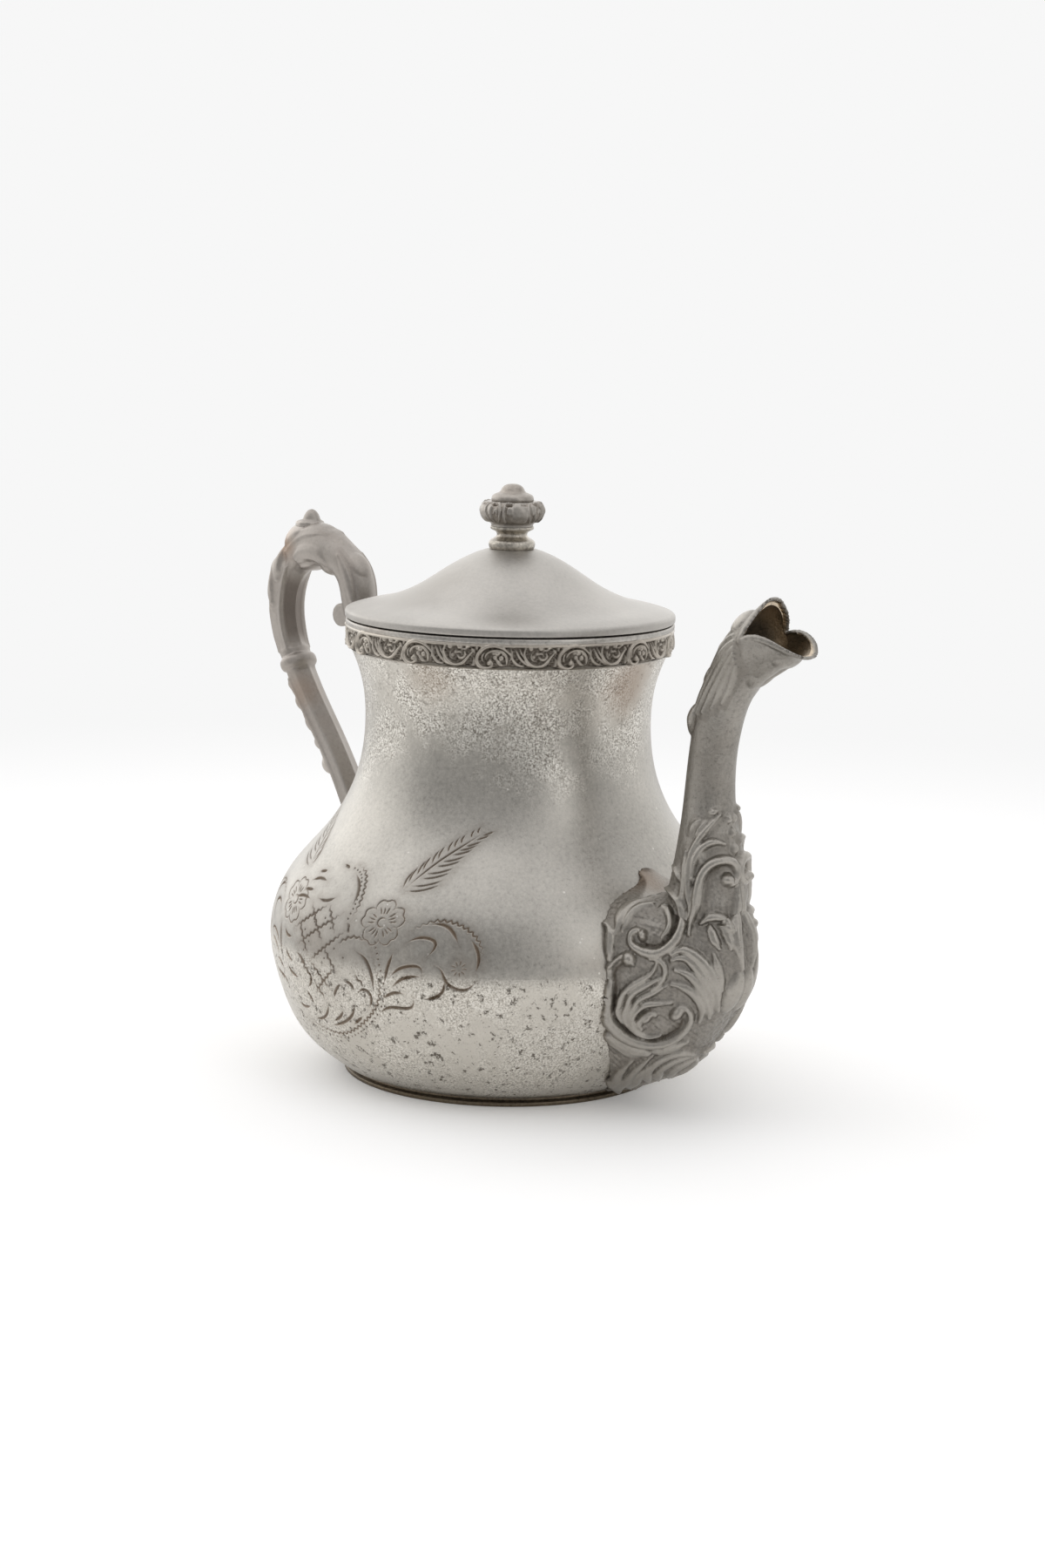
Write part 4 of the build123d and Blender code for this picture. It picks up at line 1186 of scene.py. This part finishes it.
# One repeat of the band's scrolls, as (round, up): line, width, rise
BAND_RIBS = [
    ([(5.3, 6.9), (4.6, 4.9), (5.6, 2.6), (8.0, 1.2), (10.7, 1.9), (12.3, 3.7), (13.6, 5.2)],
     1.25, 0.95),
    ([(11.0, 5.2), (11.3, 3.9), (9.9, 3.1), (8.8, 4.0)], 0.95, 0.7),
    ([(0.4, 5.0), (2.4, 1.9), (6.1, 0.8)], 1.0, 0.7),
    ([(2.1, 5.9), (3.7, 3.2), (7.2, 0.9)], 1.0, 0.75),
    ([(3.2, 6.2), (4.0, 4.6), (6.0, 2.0)], 0.8, 0.6),
    ([(24.6, 4.6), (22.0, 6.6), (18.6, 7.0), (15.9, 5.4), (15.0, 3.6), (15.3, 1.7),
      (16.6, 0.7), (18.5, 0.7), (19.4, 1.8), (18.6, 2.8)], 1.5, 1.0),
    ([(16.9, 5.0), (16.3, 3.6), (16.7, 2.2)], 0.8, 0.6),
    ([(20.6, 5.9), (22.4, 5.2), (23.6, 3.4), (23.4, 1.6)], 1.1, 0.7),
    ([(20.2, 3.6), (21.4, 2.0), (23.0, 0.9)], 1.1, 0.65),
    ([(13.8, 3.4), (14.0, 1.9), (13.2, 0.8)], 1.2, 0.5),
    ([(22.6, 5.5), (19.4, 5.6), (17.4, 4.2), (17.2, 2.6)], 0.8, 0.6),
    ([(15.4, 6.9), (16.8, 6.6), (18.4, 7.0)], 1.1, 0.6),
    ([(7.0, 5.2), (6.6, 3.6), (7.8, 2.6)], 0.7, 0.5),
    ([(12.6, 6.8), (11.2, 5.9), (9.9, 6.0)], 0.8, 0.5),
    ([(0.6, 6.4), (1.0, 4.2), (0.2, 2.6)], 0.9, 0.5),
    ([(13.2, 6.2), (14.2, 4.8)], 1.0, 0.6),
    ([(8.4, 4.4), (9.4, 5.0), (10.4, 4.4)], 0.8, 0.5),
]
BAND_BOSSES = [
    ((6.6, 6.3), (0.8, 0.75), 0.75), ((7.9, 6.9), (0.85, 0.6), 0.7), ((9.6, 6.4), (0.9, 0.8), 0.8),
    ((12.1, 6.7), (0.9, 0.7), 0.7), ((8.4, 4.9), (0.7, 0.6), 0.5), ((18.4, 2.0), (0.8, 0.8), 0.95),
    ((20.9, 4.9), (1.0, 0.9), 0.8), ((22.0, 3.5), (0.9, 0.9), 0.75), ((20.2, 3.6), (0.8, 0.8), 0.7),
    ((1.4, 7.0), (0.9, 0.7), 0.7), ((24.0, 7.0), (0.8, 0.6), 0.5),
    ((21.2, 2.4), (0.7, 0.6), 0.5), ((22.6, 4.7), (0.7, 0.6), 0.55), ((19.8, 4.9), (0.7, 0.6), 0.5),
    ((10.4, 3.0), (0.6, 0.6), 0.5), ((7.4, 3.9), (0.7, 0.6), 0.5), ((12.2, 0.9), (1.0, 0.5), 0.45),
    ((3.4, 1.1), (1.2, 0.6), 0.45), ((22.4, 1.2), (0.9, 0.5), 0.45), ((14.8, 6.2), (0.5, 0.7), 0.5),
]
BAND_GROOVES = [
    [(16.4, 5.9), (15.6, 3.8), (15.8, 2.0), (17.0, 1.1)],
    [(5.8, 3.4), (8.0, 1.8), (10.6, 2.5)],
]
KNOB_RIBS = [
    ([(1.0, 6.6), (0.1, 4.2), (0.9, 1.4)], 0.8, 0.55),
    ([(1.0, 6.6), (2.8, 6.2), (3.6, 4.0), (2.6, 1.6)], 0.8, 0.6),
    ([(1.2, 3.4), (2.1, 4.6), (2.7, 3.4)], 0.7, 0.45),
    ([(8.2, 5.6), (6.0, 6.3), (4.8, 4.4), (5.0, 1.9), (5.8, 0.7)], 0.8, 0.65),
    ([(7.4, 4.6), (6.4, 4.9), (6.0, 3.6)], 0.8, 0.5),
    ([(13.8, 6.4), (12.8, 5.2), (13.6, 2.2), (14.6, 1.0)], 0.8, 0.4),
]
KNOB_BOSSES = [((7.1, 4.2), (1.0, 1.1), 0.6), ((9.9, 3.6), (3.0, 3.4), 0.6),
               ((14.4, 4.6), (0.9, 1.4), 0.4)]


def tiled(ribs, bosses, grooves, places, unit):
    """The ornament of one repeat, with what crosses its ends."""
    shifts = (-unit, 0.0, unit)
    ribs = [([(x + by, y) for x, y in points], width, rise)
            for points, width, rise in ribs for by in shifts]
    bosses = [((centre[0] + by, centre[1]), radii, rise)
              for centre, radii, rise in bosses for by in shifts]
    grooves = [[(x + by, y) for x, y in points] for points in grooves for by in shifts]
    relief = Relief(places)
    for points, width, rise in ribs:
        relief.rib(points, width, rise)
    for centre, radii, rise in bosses:
        relief.dome(centre, radii, rise)
    for points in grooves:
        relief.groove(points, 0.5, 0.25)
    return relief


def repeated(face, back, unit, repeats, heights_of, phase=0.0):
    """A ring whose face (radius, height) carries a repeat: its mesh and the heights.

    back is the rest of the closed outline, from the face's end to its start."""
    face, back = np.array(face, float), np.array(back, float)
    columns = int(round(unit / COLUMN))
    along = arc_length(face)
    round_way, up = np.meshgrid(np.linspace(0, unit, columns, endpoint=False), along,
                                indexing="ij")
    places = np.stack([round_way.ravel(), up.ravel()], 1)
    height, hollow = heights_of(places)
    height = np.tile(height.reshape(columns, -1), (repeats, 1))
    hollow = np.tile(hollow.reshape(columns, -1), (repeats, 1))
    loop = np.concatenate([face, back])
    push = np.zeros((columns * repeats, len(loop)))
    push[:, :len(face)] = height
    marks = np.zeros_like(push)
    marks[:, :len(face)] = hollow
    points, faces = turned(loop, even_turn(columns * repeats) + phase,
                           lambda turn, row: push.ravel())
    return points, faces, marks.ravel(), push.ravel()


def band_heights(places):
    relief = tiled(BAND_RIBS, BAND_BOSSES, BAND_GROOVES, places, BAND_UNIT)
    w, z = places[:, 0], places[:, 1]
    low_edge = 1.0 - 1.0 * np.exp(-((w - 17.2) / 2.6) ** 2) - 0.3 * np.exp(-((w - 8) / 4) ** 2)
    body = soft_step(z, low_edge - 0.1, low_edge + 0.35)
    top_bead = 0.8 * np.sqrt(np.clip(1 - ((z - BAND_HEIGHT + 0.35) / 0.55) ** 2, 0, 1))
    grit = 0.14 * np.clip(wobble(places, 0.9, 12), -1, 1) + 0.14
    height = np.maximum(relief.height, np.maximum(top_bead, grit))
    hollow = np.clip(1 - height / 0.5, 0, 1)
    return BAND_RISE * height * body - 0.5 * (1 - body), hollow * body


def knob_heights(places):
    relief = tiled(KNOB_RIBS, KNOB_BOSSES, [], places * (1.0, 0.72) - (0.0, 0.2), KNOB_UNIT)
    fade = soft_step(places[:, 1], 1.3, 2.6) * (1 - soft_step(places[:, 1], 8.6, 9.8))
    slots = 0.5 * np.exp(-((places[:, 1] - 8.1) / 0.35) ** 2)
    slots *= np.clip(np.sin(places[:, 0] * 2 * math.pi / KNOB_UNIT * 3) * 2, 0, 1)
    height = relief.height * fade - slots
    return height, np.clip(1 - height / 0.3, 0, 1) * fade * np.exp(-relief.edge / 0.9) + slots


def add_ring(node, finish, shape):
    """A cast ring that stands for one node."""
    points, faces, hollow, push = shape
    mesh = welded(node + "_cast", points, faces)
    put_mark(mesh, "hollow", hollow)
    put_mark(mesh, "rubbed", np.clip(push / 0.9, 0, 1))
    stand_in(node, node + "_cast", mesh, finish, 60)


def eased(points, radius, steps=4):
    """A closed outline with its corners rounded over."""
    points = np.array(points, float)
    found = []
    for k, here in enumerate(points):
        before, after = points[k - 1], points[(k + 1) % len(points)]
        a, b = before - here, after - here
        size_a, size_b = np.linalg.norm(a), np.linalg.norm(b)
        bend = (a @ b) / (size_a * size_b)
        if bend < -0.94 or here[0] == 0:
            found.append(here)
            continue
        reach = min(radius, 0.45 * size_a, 0.45 * size_b)
        start, end = here + a / size_a * reach, here + b / size_b * reach
        for t in np.linspace(0, 1, steps):
            found.append((1 - t) ** 2 * start + 2 * t * (1 - t) * here + t * t * end)
    return np.array(found)


def add_turned(node, finish, loop, radius, count, dent=0.0):
    """A turned piece that stands for one node."""
    loop = eased(loop, radius)

    def push(turn, row):
        places = np.stack([loop[row, 0] * np.sin(turn), loop[row, 0] * np.cos(turn),
                           loop[row, 1]], 1)
        return dent * wobble(places, 26.0, 8)

    points, faces = turned(loop, even_turn(count), push)
    mesh = welded(node + "_turned", points, faces)
    stand_in(node, node + "_turned", mesh, finish, 35)


def make_trim():
    band_face = [(BAND_GROUND, BAND_BOTTOM + t) for t in np.linspace(0, BAND_HEIGHT, 38)]
    band_back = [(BODY_TOP_RADIUS + 0.02, BODY_TOP), (BODY_TOP_RADIUS + 0.02, BAND_BOTTOM)]
    add_ring("rim_band", BORDER,
             repeated(band_face, band_back, BAND_UNIT, BAND_REPEATS, band_heights, BAND_PHASE))
    knob_face = spline([(6.3, STEM_TOP), (6.45, STEM_TOP + 0.7), (6.9, STEM_TOP + 1.1),
                        (8.3, STEM_TOP + 2.1), (9.2, STEM_TOP + 3.6), (9.35, STEM_TOP + 5.0),
                        (8.8, KNOB_TOP - 0.9), (7.9, KNOB_TOP - 0.2), (6.4, KNOB_TOP)], 0.25)
    knob_back = [(STUD_BORE, KNOB_TOP), (STUD_BORE, STEM_TOP)]
    add_ring("finial_knob", KNOB,
             repeated(knob_face, knob_back, KNOB_UNIT, KNOB_REPEATS, knob_heights))
    dome = spline(LID_OUTLINE, 1.0)
    under = inset(dome, LID_WALL)
    lid = [(LID_RADIUS - LID_WALL, LID_BOTTOM), (LID_RADIUS, LID_BOTTOM),
           (LID_RADIUS, LID_RIM_TOP)]
    lid += list(dome) + [(STUD_BORE, LID_TOP), (STUD_BORE, LID_TOP - LID_WALL)]
    lid += list(under[::-1]) + [(LID_RADIUS - LID_WALL, LID_RIM_UNDER)]
    add_turned("lid_shell", LID, lid, 0.5, 320, 0.06)
    stem = [(STUD_BORE, LID_TOP), (6.6, LID_TOP)]
    stem += list(spline([(6.9, LID_TOP + 0.6), (7.05, LID_TOP + 1.5), (6.7, LID_TOP + 2.5),
                         (5.5, LID_TOP + 3.3), (4.6, LID_TOP + 4.2), (4.8, STEM_TOP - 1.9),
                         (5.9, STEM_TOP - 1.2)], 0.3))
    stem += [(6.6, STEM_TOP - 0.8), (6.6, STEM_TOP), (STUD_BORE, STEM_TOP)]
    add_turned("finial_stem", STEM, stem, 0.3, 128, 0.08)
    cap = [(1.25, KNOB_TOP), (6.3, KNOB_TOP)]
    cap += list(spline([(6.4, KNOB_TOP + 0.7), (6.15, KNOB_TOP + 1.5), (5.4, KNOB_TOP + 2.1),
                        (4.4, KNOB_TOP + 2.5), (3.75, KNOB_TOP + 2.95), (3.45, KNOB_TOP + 3.5),
                        (2.8, KNOB_TOP + 4.4), (1.5, KNOB_TOP + 5.05), (0, KNOB_TOP + 5.2)], 0.3))
    cap += [(0, KNOB_TOP + 2.6), (1.25, KNOB_TOP + 2.6)]
    add_turned("finial_cap", KNOB, cap, 0.2, 128, 0.06)
    foot = [(45.2, 0.0), (48.3, 0.0), (48.6, 0.3), (48.6, 1.2), (47.6, 1.9), (47.6, FOOT_HEIGHT),
            (45.2, FOOT_HEIGHT)]
    add_turned("foot_ring", FOOT_TARNISH_AND_SHADOW, foot, 0.25, 320)
    mouth = [(MOUTH_RADIUS, BODY_TOP), (BAND_RADIUS, BODY_TOP), (BAND_RADIUS, MOUTH_TOP),
             (MOUTH_RADIUS, MOUTH_TOP)]
    add_turned("mouth_ring", MOUTH, mouth, 0.6, 320)


# The camera, at the photograph's height and distance

CAMERA_REACH = 918.0
CAMERA_HEIGHT = 246.0
CAMERA_PITCH = math.radians(9.74)
CAMERA_YAW = math.radians(0.30)
CAMERA_ROLL = math.radians(1.24)
LENS = 70.0
SENSOR = 36.0


def make_camera():
    quarter = math.radians(45)
    away = Vector((math.cos(quarter), -math.sin(quarter), 0))
    up_z = Vector((0, 0, 1))
    ahead = -away
    right = ahead.cross(up_z)
    level = math.cos(CAMERA_YAW) * ahead + math.sin(CAMERA_YAW) * right
    view = math.cos(CAMERA_PITCH) * level - math.sin(CAMERA_PITCH) * up_z
    right = view.cross(up_z).normalized()
    up = right.cross(view)
    turned_right = math.cos(CAMERA_ROLL) * right + math.sin(CAMERA_ROLL) * up
    turned_up = -math.sin(CAMERA_ROLL) * right + math.cos(CAMERA_ROLL) * up
    data = bpy.data.cameras.new("camera")
    data.lens = LENS
    data.sensor_width = SENSOR
    camera = bpy.data.objects.new("camera", data)
    camera.matrix_world = Matrix((
        (turned_right.x, turned_up.x, -view.x, away.x * CAMERA_REACH * MM),
        (turned_right.y, turned_up.y, -view.y, away.y * CAMERA_REACH * MM),
        (turned_right.z, turned_up.z, -view.z, CAMERA_HEIGHT * MM),
        (0, 0, 0, 1)))
    bpy.context.scene.collection.objects.link(camera)
    bpy.context.scene.camera = camera


def make_lamp(name, place, target, size, power):
    data = bpy.data.lights.new(name, "AREA")
    data.shape = "RECTANGLE"
    data.size, data.size_y = size
    data.energy = power
    lamp = bpy.data.objects.new(name, data)
    lamp.location = place
    lamp.rotation_euler = (Vector(target) - Vector(place)).to_track_quat("-Z", "Y").to_euler()
    bpy.context.scene.collection.objects.link(lamp)


def make_floor():
    net = bmesh.new()
    bmesh.ops.create_grid(net, x_segments=8, y_segments=8, size=6.0)
    mesh = bpy.data.meshes.new("floor")
    net.to_mesh(mesh)
    net.free()
    floor = bpy.data.objects.new("floor", mesh)
    bpy.context.scene.collection.objects.link(floor)
    f = Finish("pale_table")
    cloud = f.noise(3, 3, 0.5)
    shade = f.blend(cloud, (0.83, 0.825, 0.815), (0.87, 0.865, 0.86))
    camera_ray = f.node("ShaderNodeLightPath", output="Is Camera Ray")
    glossy_ray = f.node("ShaderNodeLightPath", output="Is Glossy Ray")
    away = f.node("ShaderNodeVectorMath", {"operation": "LENGTH"}, {0: f.place}, output="Value")
    ahead = f.node("ShaderNodeVectorMath", {"operation": "DOT_PRODUCT"},
                   {0: f.place, 1: (math.sqrt(0.5), -math.sqrt(0.5), 0)}, output="Value")
    far = away.between(0.2, 0.75)
    past_edge = ahead.between(TABLE_EDGE, TABLE_EDGE + 0.05)
    diffuse = f.node("ShaderNodeBsdfDiffuse", None, {"Color": shade}, output="BSDF")
    glow = f.blend(camera_ray.larger(glossy_ray), (0, 0, 0), shaded(LIFT_TINT, FLOOR_LIFT))
    lift = f.node("ShaderNodeEmission", None, {"Color": glow}, output="Emission")
    lit = f.node("ShaderNodeAddShader", None, {0: diffuse, 1: lift}, output="Shader")
    backdrop = camera_ray * WHITE + glossy_ray * (WHITE - past_edge * EDGE_DROP)
    white = f.node("ShaderNodeEmission", None, {"Color": backdrop}, output="Emission")
    mask = camera_ray * far + glossy_ray * far.larger(past_edge)
    f.node_output(f.node("ShaderNodeMixShader", None, {0: mask, 1: lit, 2: white},
                         output="Shader"))
    mesh.materials.append(f.material)


WHITE = 0.93
FLOOR_LIFT = 0.17
LIFT_TINT = (1, 0.995, 0.985)
# What the metal mirrors in front of the pot: the table, then the dimmer room past its edge
TABLE_EDGE = 0.22
EDGE_DROP = 0.42
# Brightness of the room round the pot, by turn from the camera towards its right
ROOM = [(0.0, 1.7), (0.103, 1.7), (0.115, 2.5), (0.127, 2.5), (0.14, 1.6), (0.20, 1.35),
        (0.27, 0.75), (0.35, 0.48), (0.5, 0.44), (0.595, 0.50), (0.613, 1.7), (0.635, 1.7),
        (0.65, 0.38), (0.70, 0.42), (0.75, 0.7), (0.85, 1.2), (1.0, 1.7)]
OVERHEAD = 0.8


def make_world():
    world = bpy.data.worlds.new("white_room")
    world.use_nodes = True
    bpy.context.scene.world = world
    tree = world.node_tree
    tree.nodes.clear()
    f = Finish.__new__(Finish)
    f.tree = tree
    way = f.node("ShaderNodeTexCoord", output="Generated")
    half = math.sqrt(0.5)
    dot = {"operation": "DOT_PRODUCT"}
    ahead = f.node("ShaderNodeVectorMath", dot, {0: way, 1: (half, -half, 0)}, output="Value")
    right = f.node("ShaderNodeVectorMath", dot, {0: way, 1: (half, half, 0)}, output="Value")
    up = f.node("ShaderNodeVectorMath", dot, {0: way, 1: (0, 0, 1)}, output="Value")
    turn = right.sum("ARCTAN2", right, ahead) * (0.5 / math.pi) + 0.5
    walls = f.node("ShaderNodeValToRGB",
                   {"stops": [(at, (level, level, level)) for at, level in ROOM]}, {"Fac": turn})
    room = f.blend(up.between(0.30, 0.98), walls, (OVERHEAD, OVERHEAD, OVERHEAD * 1.02))
    path = f.node("ShaderNodeLightPath", output="Is Camera Ray")
    seen = f.node("ShaderNodeBackground", None, {"Color": (WHITE, WHITE, WHITE, 1)})
    lit = f.node("ShaderNodeBackground", None, {"Color": room})
    mixed = f.node("ShaderNodeMixShader", None, {0: path, 1: lit, 2: seen})
    out = tree.nodes.new("ShaderNodeOutputWorld")
    tree.links.new(mixed.socket, out.inputs["Surface"])


make_camera()
make_floor()
make_world()
make_lamp("window_left", (-1.6, -1.2, 1.1), (0, 0, 0.08), (1.6, 2.2), 4.5)
make_lamp("window_right", (1.9, 0.3, 1.1), (0, 0, 0.08), (1.4, 2.0), 3)
make_lamp("ceiling", (-0.3, -0.2, 2.2), (0, 0, 0), (3.2, 3.2), 14)

RUST = (0.33, 0.19, 0.10)
SPUN = pewter("aged_pewter", (0.41, 0.39, 0.355), 0.31, pits=0.3, mottle=0.32, grime_and_shade="cut",
              dirt_and_shade=0.8, stain=0.2,
              spots=[((43, 4, 125), 16, (0.24, 0.17, 0.12), 0.6),
                     ((12, -44, 126), 13, (0.26, 0.19, 0.13), 0.35),
                     ((0, -70, 54), 26, (0.215, 0.203, 0.187), 0.4)], surface=body_surface)
# Of the cast finish's spots, the first is a brown stain at the web; the second, small and
# near-black, is painted shade in the crease of the web corner
CAST = pewter("cast_pewter", (0.29, 0.272, 0.245), 0.44, grime_and_shade="hollow", wear="rubbed",
              dirt_and_shade=0.9, rubbed=0.45, grit=0.45, shift=2, tint=(0.24, 0.20, 0.155), stain=0.25,
              mottle=0.45,
              spots=[((59, -5, 68), 13, (0.19, 0.12, 0.07), 0.55),
                     ((57, 0, 71), 3.6, (0.05, 0.04, 0.03), 0.8)], surface=bore_surface)
HANDLE = pewter("handle_pewter", (0.37, 0.34, 0.31), 0.48, grime_and_shade="hollow", wear="rubbed",
                dirt_and_shade=0.5, shift=3, tint=(0.30, 0.22, 0.17), stain=0.25, mottle=0.25, pits=0.2,
                spots=[((-97, -3, 154), 8, RUST, 0.55), ((-90, -5, 108), 9, RUST, 0.25)])
BORDER = pewter("border_pewter", (0.34, 0.31, 0.27), 0.42, grime_and_shade="hollow", wear="rubbed",
                dirt_and_shade=0.95, rubbed=0.5, tint=(0.17, 0.135, 0.10), shift=4, pits=0.5, mottle=0.6)
LID = pewter("lid_pewter", (0.45, 0.43, 0.40), 0.48, pits=0.15, mottle=0.22, stain=0.15, shift=5,
             spots=[((-15, -28, 152), 30, (0.33, 0.305, 0.275), 0.4)])
KNOB = pewter("finial_pewter", (0.35, 0.325, 0.295), 0.42, pits=0.15, grime_and_shade="hollow", dirt_and_shade=0.5,
              shift=6, spots=[((0, 0, KNOB_TOP - 0.2), 8.6, RUST, 0.15)])
STEM = pewter("stem_pewter", (0.43, 0.40, 0.35), 0.36, pits=0.8, mottle=1.0, stain=0.4, shift=12,
              spots=[((0, 0, LID_TOP), 7.6, RUST, 0.4)])
# The foot's near-black brown is partly its tarnish and partly painted contact shadow
FOOT_TARNISH_AND_SHADOW = pewter("foot_pewter_and_painted_shadow", (0.13, 0.105, 0.075), 0.45, pits=0.8, mottle=0.8, stain=0.4, shift=7)
MOUTH = pewter("mouth_pewter", (0.42, 0.40, 0.37), 0.38, shift=8)
INSIDE = pewter("inside_pewter", (0.28, 0.26, 0.235), 0.5, stain=0.4, shift=9)
BRASS = pewter("brass", (0.40, 0.33, 0.22), 0.4, pits=0.2, mottle=0.3, shift=10)
KEPT_FINISHES = {"base_plate": INSIDE, "lid_bezel": INSIDE, "hinge_block": BORDER,
                 "hinge_strap": BORDER, "hinge_pin": BRASS, "finial_stud": BRASS,
                 "finial_washer": BRASS, "finial_nut": BRASS}
for name, finish in KEPT_FINISHES.items():
    mesh = frame["nodes"][name].data
    mesh.materials.clear()
    mesh.materials.append(finish)
make_trim()
make_body()
make_casting(("spout_left_half", "spout_right_half"), ("spout_left_cast", "spout_right_cast"),
             spout_relief, CAST)
make_casting(("handle_left_half", "handle_right_half"), ("handle_left_cast", "handle_right_cast"),
             handle_relief, HANDLE, 0.35)

bpy.context.scene.view_settings.view_transform = "Standard"
